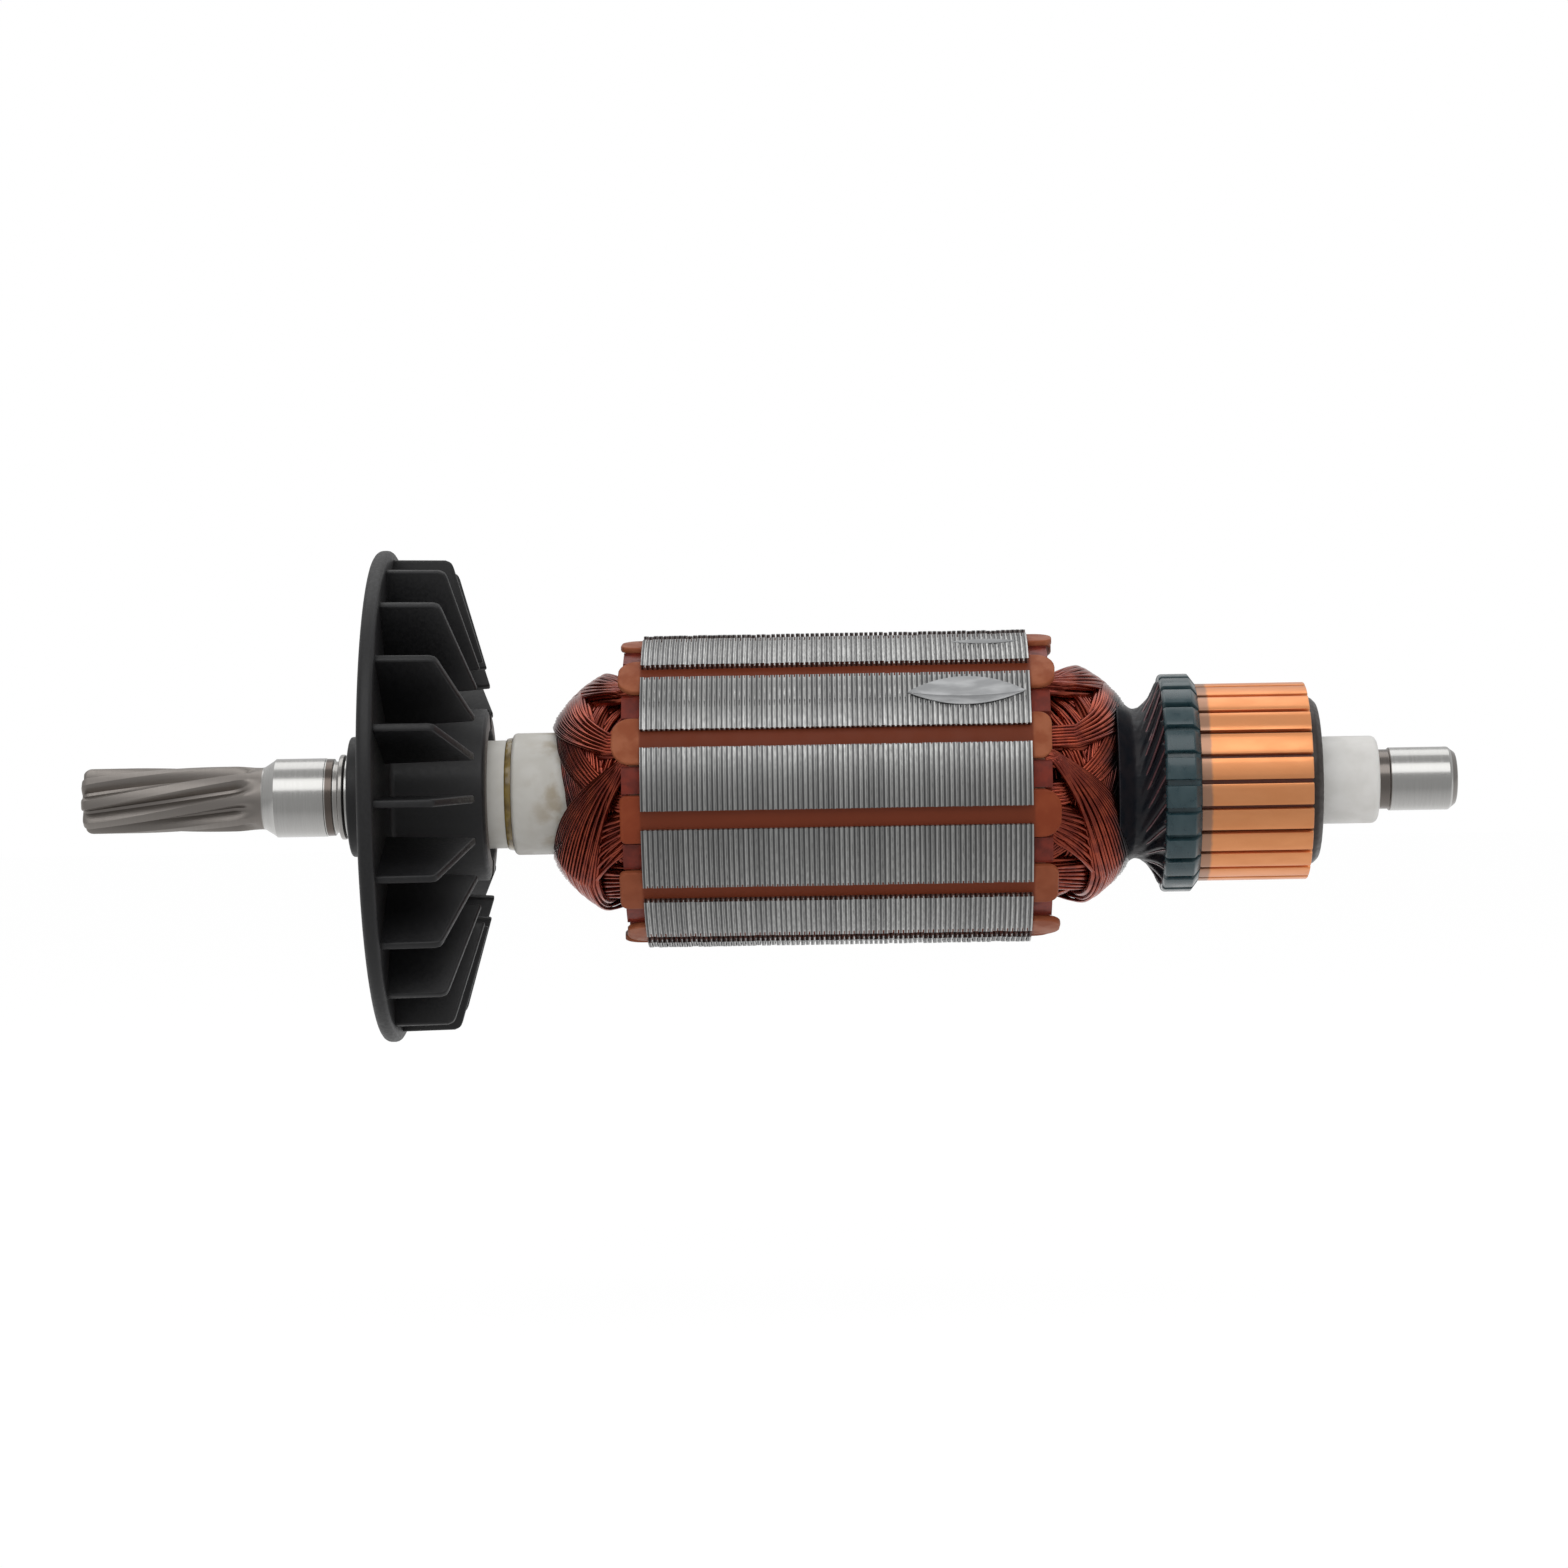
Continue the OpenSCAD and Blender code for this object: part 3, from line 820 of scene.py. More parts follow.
@dataclass(frozen=True)
class FanPlastic(Finish):
    """Black plastic with a browned face at the end of its hub."""

    face: float = 23.95
    hub_r: float = 11.6
    browned: Colour = (0.105, 0.075, 0.062)

    def paint(self, shader: Shader, colour: Socket) -> Socket:
        """Browns the hub's end face.

        Args:
            shader: the material's nodes.
            colour: the base colour.

        Returns:
            The marked colour.
        """
        past = shader.spread(shader.station(), self.face - 0.1, self.face + 0.1)
        inside = shader.spread(shader.radius(), self.hub_r - 0.1, self.hub_r, (0.8, 0))
        return shader.blend(shader.math("MULTIPLY", past, inside), colour, self.browned)


@dataclass(frozen=True)
class BarMoulding(Finish):
    """Black moulding, reddened between the bars."""

    bars_end: float = 127.15
    reddened: Colour = (0.110, 0.030, 0.014)

    def paint(self, shader: Shader, colour: Socket) -> Socket:
        """Reddens the fins and leaves the end ring black."""
        share = shader.spread(shader.station(), self.bars_end - 0.1, self.bars_end)
        return shader.blend(share, self.reddened, colour)


@dataclass(frozen=True)
class WireEnamel(Finish):
    """Enamelled wire, darker towards the shaft and darkened by resin beside the neck."""

    dark_r: float = 8.8
    clear_r: float = 13.0
    dark: Colour = (0.075, 0.022, 0.024)
    neck_from: float = 101.3
    neck_to: float = 103.9
    uneven: float = 0.8
    resin: Colour = (0.020, 0.017, 0.020)
    soaked_r: Pair = (11.2, 13.4)

    def paint(self, shader: Shader, colour: Socket) -> Socket:
        """Darkens the wires towards the shaft, in uneven streaks.

        Args:
            shader: the material's nodes.
            colour: the base colour.

        Returns:
            The marked colour.
        """
        near = shader.spread(shader.radius(), self.dark_r, self.clear_r, (1, 0))
        streaks = shader.spread(shader.noise(0.5, detail=4), 0.35, 0.62, (0.55, 1))
        # the wires darker towards the shaft, in uneven streaks
        darker_inside = shader.blend(shader.math("MULTIPLY", near, streaks), colour, self.dark)
        ragged = shader.spread(shader.noise(0.3, detail=4), 0.3, 0.7, (-self.uneven, self.uneven))
        along = shader.math("ADD", shader.station(), ragged)
        soaked = shader.spread(along, self.neck_from, self.neck_to)
        inside = shader.spread(shader.radius(), *self.soaked_r, (1, 0))
        return shader.blend(shader.math("MULTIPLY", soaked, inside), darker_inside, self.resin)


STEEL = GroundSteel(
    "steel_ground", "ground_steel", (0.52, 0.515, 0.50), (0.55, 0.545, 0.53), cells=3.0,
    stretch=(3, 0.08, 0.08), rough=(0.19, 0.25), metallic=1.0, depth=0.0006,
)
FAN_BLACK = FanPlastic(
    "fan_black", "fan_plastic", (0.010, 0.010, 0.011), (0.014, 0.014, 0.015), cells=2.5,
    rough=(0.42, 0.55), depth=0.01, specular=0.45,
)
SLEEVE_WHITE = StainedPlastic(
    "sleeve_white", "insulation", (0.66, 0.645, 0.60), (0.60, 0.58, 0.53), cells=0.3,
    rough=(0.38, 0.50), depth=0.02,
)
BUSH_WHITE = Finish(
    "bush_white", "insulation", (0.78, 0.77, 0.745), (0.73, 0.72, 0.69), cells=0.4,
    rough=(0.36, 0.48), depth=0.02,
)
VARNISH = Finish(
    "varnish_amber", "varnish", (0.22, 0.15, 0.03), (0.14, 0.09, 0.02), cells=0.8,
    rough=(0.15, 0.25), depth=0.02, coat=0.6,
)
SHEETS = SheetEdge(
    "sheet_edges", "lamination_steel", (0.62, 0.62, 0.61), (0.54, 0.54, 0.53), cells=2.0,
    stretch=(2, 0.6, 0.6), rough=(0.34, 0.50), metallic=1.0, depth=0.012,
)
RED_MOULDING = Finish(
    "insulator_red", "slot_insulation", (0.210, 0.028, 0.015), (0.140, 0.019, 0.011), cells=0.7,
    rough=(0.30, 0.44), depth=0.03, coat=0.05, specular=0.28,
)
LINER = Finish(
    "liner_pale", "liner_film", (0.34, 0.17, 0.11), (0.24, 0.10, 0.07), cells=0.5,
    rough=(0.25, 0.40), depth=0.02,
)
WEDGE_BROWN = WedgeFibre(
    "wedge_brown", "wedge_fibre", (0.360, 0.112, 0.050), (0.285, 0.074, 0.030), cells=0.45,
    rough=(0.40, 0.55), depth=0.02, specular=0.15,
)
# Darker copies of the wedge's colour for the tabs of a few slots.
WEDGE_DARKER = replace(
    WEDGE_BROWN, name="wedge_darker", colour=(0.300, 0.082, 0.036), second=(0.262, 0.068, 0.029)
)
WEDGE_DARKEST = replace(
    WEDGE_BROWN, name="wedge_darkest", colour=(0.262, 0.053, 0.019), second=(0.232, 0.043, 0.015)
)
ENAMEL = WireEnamel(
    "wire_enamel", "enamelled_copper", (0.38, 0.066, 0.030), (0.23, 0.034, 0.019), cells=0.6,
    rough=(0.15, 0.25), metallic=0.9, depth=0.003, coat=0.3,
)
COPPER = TrackCopper(
    "copper_turned", "bar_copper", (0.90, 0.370, 0.155), (0.86, 0.345, 0.140), cells=0.5,
    stretch=(0.4, 1, 1), rough=(0.30, 0.38), metallic=0.8, depth=0.0006,
)
BLACK_MOULDING = BarMoulding(
    "moulding_black", "black_moulding", (0.038, 0.029, 0.025), (0.026, 0.018, 0.015), cells=1.5,
    rough=(0.30, 0.45), depth=0.01,
)
CUT_STEEL = Finish(
    "cut_steel", "lamination_steel", (0.40, 0.405, 0.41), (0.34, 0.345, 0.35), cells=1.2,
    stretch=(0.2, 1, 1), rough=(0.42, 0.55), metallic=1.0, depth=0.004,
)
LEAD_ENAMEL = Finish(
    "lead_enamel", "coated_leads", (0.135, 0.050, 0.055), (0.080, 0.030, 0.038), cells=0.8,
    rough=(0.25, 0.40), metallic=0.3, depth=0.01, coat=0.5,
)
NECK_RESIN = Finish(
    "neck_resin_dark", "resin", (0.008, 0.010, 0.014), (0.016, 0.014, 0.017), cells=0.5,
    rough=(0.30, 0.42), depth=0.03, coat=0.05, specular=0.2,
)
HOOK_RESIN = Finish(
    "resin_on_hooks", "resin", (0.016, 0.044, 0.054), (0.026, 0.058, 0.068), cells=0.6,
    rough=(0.24, 0.38), depth=0.04, coat=0.4,
)


def publish(
    bm: Mesh, name: str, finish: Finish, *stands_for: str, smooth_angle: float = 35
) -> bpy.types.Object:
    """Makes a finished piece of a mesh and fastens it to the frame.

    Args:
        bm: the mesh in metres, freed here.
        name: the piece's name.
        finish: what it is dressed in.
        stands_for: the frame's nodes that the piece replaces.
        smooth_angle: degrees up to which faces are shaded as one surface.

    Returns:
        The new object.
    """
    mesh = stored(bm, name)
    mesh.shade_smooth()
    mesh.set_sharp_from_angle(angle=math.radians(smooth_angle))
    mesh.materials.append(finish.material())
    piece = placed(name, mesh)
    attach(piece, "root")
    if stands_for:
        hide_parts(*stands_for)
    log.info("%s: %d faces", name, len(mesh.polygons))
    return piece


def dress(node: str, finish: Finish) -> None:
    """Gives a node of the frame its finish and leaves its shape alone.

    Args:
        node: the node's name.
        finish: what it is dressed in.
    """
    mesh = frame["nodes"][node].data
    mesh.materials.clear()
    mesh.materials.append(finish.material())
    log.info("%s: dressed in %s", node, finish.name)


# ---------------------------------------------------------------- shaft and fan


@dataclass
class Shaft:
    """The ground shaft with its helical pinion."""

    at: Stations
    seat_r: float = 5.0
    far_seat_r: float = 4.0
    half_seat: float = 3.65
    relief: float = 0.22
    neck_r: float = 3.925
    neck_cone: float = 1.65
    collar_r: float = 5.42
    fan_seat_r: float = 5.0
    core_seat_r: float = 4.7
    teeth: int = 8
    tip_r: float = 4.14
    root_r: float = 2.95
    twist: float = math.radians(-2.55)
    phase: float = math.radians(8)
    runout: float = 3.4
    end_round: float = 1.0
    slices: int = 66
    points_a_tooth: int = 12

    def build(self) -> None:
        """Builds the shaft and fastens it to the frame."""
        bm = self.bar()
        join(bm, self.pinion())
        publish(bm, "ground_shaft", STEEL, "shaft", smooth_angle=28)

    def bar(self) -> Mesh:
        """The turned part, from the neck to the far end.

        Returns:
            A closed mesh.
        """
        at, seat = self.at, self.seat_r
        neck = -self.half_seat - self.neck_cone
        low = seat - 2 * self.relief
        band = self.half_seat - 0.65
        far_low = self.far_seat_r - self.relief
        return turned([
            (neck, 0, 0), (neck, self.neck_r, 0), (neck + 0.35, self.neck_r, 0.3),
            (-self.half_seat + 0.05, seat - 0.22, 0.3), (-self.half_seat + 0.3, seat, 0.2),
            (band, seat, 0.05), (band + 0.05, seat - 0.07, 0), (band + 1.05, seat - 0.1, 0.05),
            (band + 1.1, low, 0.05), (band + 1.75, low, 0.15),
            (band + 1.8, self.collar_r, 0.22), (band + 2.5, self.collar_r, 0.2),
            (band + 2.55, self.fan_seat_r, 0.1), (self.half_seat + 2.5, self.fan_seat_r, 0),
            (self.half_seat + 2.5, self.core_seat_r, 0),
            (at.ring_end - 3, self.core_seat_r, 0), (at.ring_end - 3, self.far_seat_r, 0),
            (at.bush_end - 0.3, self.far_seat_r, 0), (at.bush_end - 0.2, far_low, 0.06),
            (at.comm_seat_start - 0.15, far_low, 0.1), (at.comm_seat_start, self.far_seat_r, 0.08),
            (at.comm_seat_end, self.far_seat_r, 0.15),
            (at.comm_seat_end + 0.2, self.far_seat_r - 0.2, 0.1),
            (at.far_end - 0.12, self.far_seat_r - 0.72, 0.12),
            (at.far_end, self.far_seat_r - 1.1, 0.1), (at.far_end, 0, 0),
        ], steps=144)

    def groove(self, share: float) -> float:
        """Depth of the tooth form at a share of a tooth's pitch: 0 on the land, 1 in the groove."""
        off = abs(share - 0.5) * 2
        return 1 - smooth((off - 0.12) / 0.55)

    def pinion(self) -> Mesh:
        """The helical teeth: a ring of points that is pulled along the shaft and turned.

        Returns:
            A closed mesh.
        """
        start, stop = self.at.tip, -self.half_seat - self.neck_cone
        count = self.teeth * self.points_a_tooth
        bm = bmesh.new()
        made = bmesh.ops.create_circle(bm, cap_ends=True, segments=count, radius=self.tip_r * MM)
        ring = made["verts"]
        ring.sort(key=lambda v: math.atan2(v.co.y, v.co.x))
        self.place_ring(ring, start)
        edges = bm.edges[:]
        for i in range(1, self.slices + 1):
            made = bmesh.ops.extrude_edge_only(bm, edges=edges)["geom"]
            fresh = {g for g in made if isinstance(g, BMVert)}
            edges = [g for g in made if isinstance(g, BMEdge) and len(g.link_faces) == 1]
            ring = [
                next(e.other_vert(old) for e in old.link_edges if e.other_vert(old) in fresh)
                for old in ring
            ]
            self.place_ring(ring, mix(start, stop, smooth_start(i / self.slices)))
        bmesh.ops.edgenet_fill(bm, edges=edges)
        bmesh.ops.recalc_face_normals(bm, faces=bm.faces)
        return bm

    def place_ring(self, ring: Sequence[BMVert], station: float) -> None:
        """Puts a ring's points on the tooth form at a station.

        Args:
            ring: the points in order round the axis.
            station: where the ring goes.
        """
        from_tip = station - self.at.tip
        to_neck = -self.half_seat - self.neck_cone - station
        fade = smooth(1 - to_neck / self.runout)
        for i, vert in enumerate(ring):
            share = i / self.points_a_tooth % 1
            depth = self.groove(share) * (1 - fade)
            radius = mix(mix(self.tip_r, self.neck_r, fade), self.root_r, depth)
            if from_tip < self.end_round:
                round_off = 1 - math.sqrt(1 - (1 - from_tip / self.end_round) ** 2)
                radius -= self.end_round * round_off * 0.75
            angle = self.phase + self.twist * from_tip + TURN * i / len(ring)
            vert.co = round_axis(station, radius, angle)


@dataclass
class Fan:
    """The moulded fan: disc, hub, boss and radial blades."""

    at: Stations
    disc_t: float = 2.0
    boss_len: float = 3.95
    boss_r: float = 7.65
    hub_r: float = 11.2
    shaft_bore_r: float = 4.75
    bore_r: float = 6.92
    recess_w: float = 1.4
    blades: int = 20
    blade_t: float = 1.0
    rim_h: float = 7.6
    eye_h: float = 11.3
    eye_r: float = 16.3
    phase: float = math.radians(1.7)
    notch_w: float = 2.2
    notch_depth: float = 0.9

    def build(self) -> None:
        """Builds the fan and fastens it to the frame."""
        bm = self.body()
        for way in (1, -1):
            bm = carved(bm, self.notch(way))
        angles = [self.phase + TURN * i / self.blades for i in range(self.blades)]
        join_round(bm, self.blade, angles)
        publish(bm, "fan_moulding", FAN_BLACK, "fan")

    def back(self) -> float:
        """Station of the disc's face on the core's side."""
        return self.at.fan_start + self.boss_len + self.disc_t

    def body(self) -> Mesh:
        """Boss, disc with its rounded rim, and hub with the recess round the sleeve.

        Returns:
            A closed mesh.
        """
        at, back = self.at, self.back()
        front = at.fan_start + self.boss_len
        recess_r = self.bore_r + self.recess_w
        return turned([
            (at.fan_start, self.shaft_bore_r, 0), (at.fan_start, self.boss_r, 0.35),
            (front, self.boss_r, 0.4),
            (front, at.fan_r, 0.85), (back, at.fan_r, 0.75), (back, self.hub_r, 0.8),
            (at.fan_end - 0.75, self.hub_r - 0.3, 0.25), (at.fan_end - 0.45, self.hub_r - 1.0, 0.2),
            (at.fan_end - 0.35, recess_r, 0.2), (at.fan_end - 2.2, recess_r, 0.1),
            (at.fan_end - 2.2, self.bore_r, 0),
            (back + 1.9, self.bore_r, 0), (back + 1.9, self.shaft_bore_r, 0),
        ], steps=160)

    def blade(self) -> Mesh:
        """One blade at the front, with its rounded edges.

        Returns:
            A closed mesh.
        """
        back, rim = self.back(), self.at.fan_r - 1.2
        bm = slab([
            (back - 0.4, self.eye_r - 0.4), (back - 0.4, rim),
            (back + self.rim_h - 1.0, rim - 0.15), (back + self.rim_h - 0.3, rim - 0.45),
            (back + self.rim_h, rim - 1.15),
            (back + self.eye_h - 0.15, self.eye_r + 0.5),
        ], self.blade_t)
        soften(bm, 0.28, 3)
        return bm

    def notch(self, way: int) -> Mesh:
        """The space of a driver notch in the hub's end.

        Args:
            way: 1 for the notch above the shaft and -1 for the one below.

        Returns:
            A closed mesh.
        """
        inner, outer = self.bore_r + 0.2, self.hub_r + 1
        floor, clear = self.at.fan_end - self.notch_depth, self.at.fan_end + 1
        side = -self.notch_w / 2 * MM
        outline = [(floor, inner), (clear, inner), (clear, outer), (floor, outer)]
        return prism(
            [Vector((x * MM, side, way * r * MM)) for x, r in outline],
            Vector((0, self.notch_w * MM, 0)),
        )


# ---------------------------------------------------------------- core


@dataclass
class Core:
    """The stack of punched sheets with its end insulators, wedges and balance cuts."""

    at: Stations
    tooth_w: float = 3.4
    mouth: float = 2.4
    lip: float = 0.8
    floor_r: float = 12.0
    bore_r: float = 7.77
    insulator_t: float = 2.35
    insulator_r: float = 18.4
    sheets: int = 78
    gap: float = 0.12
    gap_spread: Pair = (0.9, 1.7)
    gap_depth: float = 0.45
    drift: float = 0.02
    drift_kept: float = 0.6
    drift_felt: float = 0.4
    shrink: float = 0.03
    small_share: float = 0.08
    small_by: float = 0.06
    sheet_turn: float = 0.0008
    sheet_shift: float = 0.02
    crown_clear: float = 0.02
    wedge_t: float = 0.8
    wedge_tab: float = 3.0
    wedge_play: float = 0.12
    wedge_round: float = 0.22
    tab_flat: float = 0.6
    wedge_shifts: tuple[float, ...] = (
        -0.6, 0.4, 0.05, 0.5, -0.3, 0.4, -0.5, 0.2, -0.2, 0.5, 0.15, 0.1
    )
    # slots whose tabs take a darker copy of the wedge's colour
    wedge_finishes: dict = field(default_factory=lambda: {
        2: WEDGE_DARKEST, 3: WEDGE_DARKER, 6: WEDGE_DARKER, 9: WEDGE_DARKEST
    })
    tab_corners: dict = field(default_factory=lambda: {
        (2, -1): 0.8, (3, -1): 1.0, (3, 1): 1.5, (1, 1): 1.6
    })
    cuts: tuple[tuple[int, float, float], ...] = ((12, 8.0, 7.4), (11, 5.5, 4.1))
    cut_shift: float = -0.6235
    skin_t: float = 0.08
    skin_reach: float = 0.985
    wheel_r: float = 30.0
    flanks: Pair = (math.tan(math.radians(20.4)), math.tan(math.radians(25)))
    bore_steps: int = 48
    crown_steps: int = 12
    rng: random.Random = field(default_factory=lambda: random.Random(7))

    def build(self) -> None:
        """Builds every piece of the core."""
        self.build_sheets()
        at = self.at
        self.build_insulator("drive_end_insulator", at.core_start - self.insulator_t)
        self.build_insulator("commutator_end_insulator", at.core_end)
        for n in range(1, SLOTS + 1):
            self.build_wedge(n)
        dress("slot_liners", LINER)

    def slot_half(self, radius: float) -> float:
        """Half the width of a slot at a radius."""
        half = SLOT_PITCH / 2
        return radius * math.tan(half) - self.tooth_w / 2 / math.cos(half)

    def slot_side(self, top_r: float) -> list[Pair]:
        """One side of a slot, from the middle of its floor outwards.

        Args:
            top_r: radius at which the side ends.

        Returns:
            Points as (radius, distance from the slot's middle).
        """
        half = SLOT_PITCH / 2
        centre = (self.floor_r - self.tooth_w / 2) / (1 - math.sin(half))
        round_r = centre * math.sin(half) - self.tooth_w / 2
        floor = [
            (centre - round_r * math.cos(a), round_r * math.sin(a))
            for a in [math.radians(15 + 20 * i) for i in range(4)]
        ]
        return [(centre - round_r, 0.0), *floor, (top_r, self.slot_half(top_r))]

    def star(
        self, crown_r: float, lipped: bool, crown: Callable[[int, float], float]
    ) -> list[Pair]:
        """The outline of a sheet or of an end insulator, tooth by tooth.

        Args:
            crown_r: radius over the teeth.
            lipped: whether tooth tips close in on the slot mouths.
            crown: radius of a tooth's crown at (tooth, millimetres off its middle).

        Returns:
            Corners as (radius, angle).
        """
        corners = []
        top = crown_r - self.lip if lipped else crown_r
        for n in range(1, SLOTS + 1):
            side = self.slot_side(top)
            if lipped:
                side = side + [(top, self.mouth / 2)]
            side = [(math.hypot(r, w), math.atan2(w, r)) for r, w in side]
            middle = slot_angle(n)
            corners += [(r, middle - a) for r, a in reversed(side[1:])]
            corners += [(r, middle + a) for r, a in side]
            edge = self.mouth / 2 / crown_r if lipped else side[-1][1]
            first, last = middle + edge, middle + SLOT_PITCH - edge
            for i in range(self.crown_steps + 1):
                angle = mix(first, last, i / self.crown_steps)
                off = (angle - middle - SLOT_PITCH / 2) * crown_r
                corners.append((crown(n, off), angle))
        return corners

    def plate(self, corners: Sequence[Pair], start: float, thickness: float) -> Mesh:
        """A flat plate with a round bore.

        Args:
            corners: the outline as (radius, angle).
            start: station of its first face.
            thickness: millimetres.

        Returns:
            A closed mesh.
        """
        bm = bmesh.new()
        outer = [bm.verts.new(round_axis(start, r, a)) for r, a in corners]
        inner = [
            bm.verts.new(round_axis(start, self.bore_r, TURN * i / self.bore_steps))
            for i in range(self.bore_steps)
        ]
        for ring in (outer, inner):
            for a, b in zip(ring, ring[1:] + ring[:1]):
                bm.edges.new((a, b))
        bmesh.ops.triangle_fill(bm, edges=bm.edges[:], use_beauty=True)
        pull(bm, AXIS * thickness * MM)
        return bm

    def cut_depth(self, tooth: int, station: float) -> float:
        """Depth of the grinding wheel's cut in a tooth at a station.

        Args:
            tooth: number of the tooth.
            station: place along the shaft.

        Returns:
            Millimetres, 0 where there is no cut.
        """
        for number, from_end, half in self.cuts:
            off = station - (self.at.core_end - from_end)
            if number == tooth and abs(off) < half:
                return (half * half - off * off) / (2 * self.wheel_r)
        return 0.0

    def build_sheets(self) -> None:
        """Stacks the sheets: each is a little larger, smaller or turned, as a press leaves them."""
        at = self.at
        pitch = (at.core_end - at.core_start) / self.sheets
        bm = bmesh.new()
        wander = 0.0
        for i in range(self.sheets):
            start = at.core_start + i * pitch
            wander = self.drift_kept * wander + self.rng.uniform(-self.drift, self.drift)
            grown = self.rng.uniform(-self.shrink, 0.0) + self.drift_felt * wander
            if self.rng.random() < self.small_share:
                grown -= self.small_by
            crown_r = at.core_r - self.crown_clear + min(grown, self.crown_clear)

            def crown(tooth: int, off: float) -> float:
                """Radius of a crown in this sheet, with the cuts."""
                depth = self.cut_depth(tooth, start + pitch / 2)
                return min(crown_r, at.core_r - depth + self.flank(off)) if depth > 0 else crown_r

            corners = self.star(crown_r, True, crown)
            turn = self.rng.uniform(-self.sheet_turn, self.sheet_turn)
            thickness = pitch - self.gap * self.rng.uniform(*self.gap_spread)
            shift = self.rng.uniform(0, self.sheet_shift)
            join(bm, self.plate([(r, a + turn) for r, a in corners], start + shift, thickness))
        inner = at.core_r - self.gap_depth

        def floor(tooth: int, off: float) -> float:
            """Radius of a crown in the solid behind the gaps, under the deepest cut."""
            deepest = max(self.cut_depth(tooth, at.core_end - cut[1]) for cut in self.cuts)
            return min(inner, at.core_r - deepest - 0.1 + self.flank(off)) if deepest > 0 else inner

        length = at.core_end - at.core_start - 0.4
        join(bm, self.plate(self.star(inner, True, floor), at.core_start + 0.2, length))
        for cut in self.cuts:
            join(bm, self.cut_face(*cut))
        stack = publish(bm, "sheet_stack", SHEETS, "core", smooth_angle=20)
        stack.data.materials.append(CUT_STEEL.material())

    def flank(self, off: float) -> float:
        """Height of a cut's flank over its lowest line, at millimetres off the tooth's middle."""
        off -= self.cut_shift
        return abs(off) * self.flanks[off > 0]

    def cut_face(self, tooth: int, from_end: float, half: float) -> Mesh:
        """The smeared face that the grinding wheel leaves over the sheets.

        Args:
            tooth: number of the tooth that is cut.
            from_end: millimetres from the core's end to the cut's middle.
            half: half the cut's length in millimetres.

        Returns:
            A thin closed skin in the second material.
        """
        at, steps, half_across = self.at, 40, 2
        middle = slot_angle(tooth) + SLOT_PITCH / 2 + self.cut_shift / at.core_r
        bm = bmesh.new()
        bmesh.ops.create_grid(bm, x_segments=2 * half_across, y_segments=steps, size=1)
        for vert in bm.verts:
            f = round(vert.co.x * half_across) / half_across
            share = round((vert.co.y + 1) / 2 * steps) / steps
            station = at.core_end - from_end + mix(-half, half, share) * self.skin_reach
            depth = self.cut_depth(tooth, station)
            vert.co = round_axis(
                station, at.core_r - depth * (1 - abs(f)) + 0.01,
                middle + f * depth / self.flanks[f > 0] / at.core_r,
            )
        bmesh.ops.recalc_face_normals(bm, faces=bm.faces)
        bmesh.ops.solidify(bm, geom=bm.faces[:], thickness=self.skin_t * MM)
        bmesh.ops.recalc_face_normals(bm, faces=bm.faces)
        for face in bm.faces:
            face.material_index = 1
        return bm

    def build_insulator(self, node: str, start: float) -> None:
        """Builds one red-brown end insulator.

        Args:
            node: the frame's node that it replaces.
            start: station of its first face.
        """
        corners = self.star(self.insulator_r, False, lambda tooth, off: self.insulator_r)
        bm = self.plate(corners, start, self.insulator_t)
        soften(bm, 0.18, 2, 40)
        publish(bm, node.replace("insulator", "star"), RED_MOULDING, node)

    def build_wedge(self, number: int) -> None:
        """Builds one slot wedge: a strip with a round tab past each end of the core.

        Args:
            number: the slot's number, from 1.
        """
        at = self.at
        outer = at.core_r - self.lip - 0.05
        half = self.slot_half(outer - self.wedge_t) - self.wedge_play
        shift = self.wedge_shifts[number - 1]
        start, stop = at.core_start - self.wedge_tab + shift, at.core_end + self.wedge_tab + shift
        outline = []
        for end, sign, first in ((stop, 1, -90), (start, -1, 90)):
            corner = self.tab_corners.get((number, sign), half - self.tab_flat)
            for i in range(13):
                a = math.radians(first + 15 * i)
                side = half - corner if math.sin(a) > 0 else corner - half
                station = end - sign * corner + corner * math.cos(a)
                outline.append((station, side + corner * math.sin(a)))
        base = (outer - self.wedge_t) * MM
        flat = [Vector((x * MM, -base, -w * MM)) for x, w in outline]
        bm = prism(flat, Vector((0, -self.wedge_t * MM, 0)))
        soften(bm, self.wedge_round, 3)
        turn_round(bm, slot_angle(number))
        finish = self.wedge_finishes.get(number, WEDGE_BROWN)
        publish(bm, f"wedge_strip_{number:02d}", finish, f"slot_wedge_{number:02d}")


# ---------------------------------------------------------------- windings


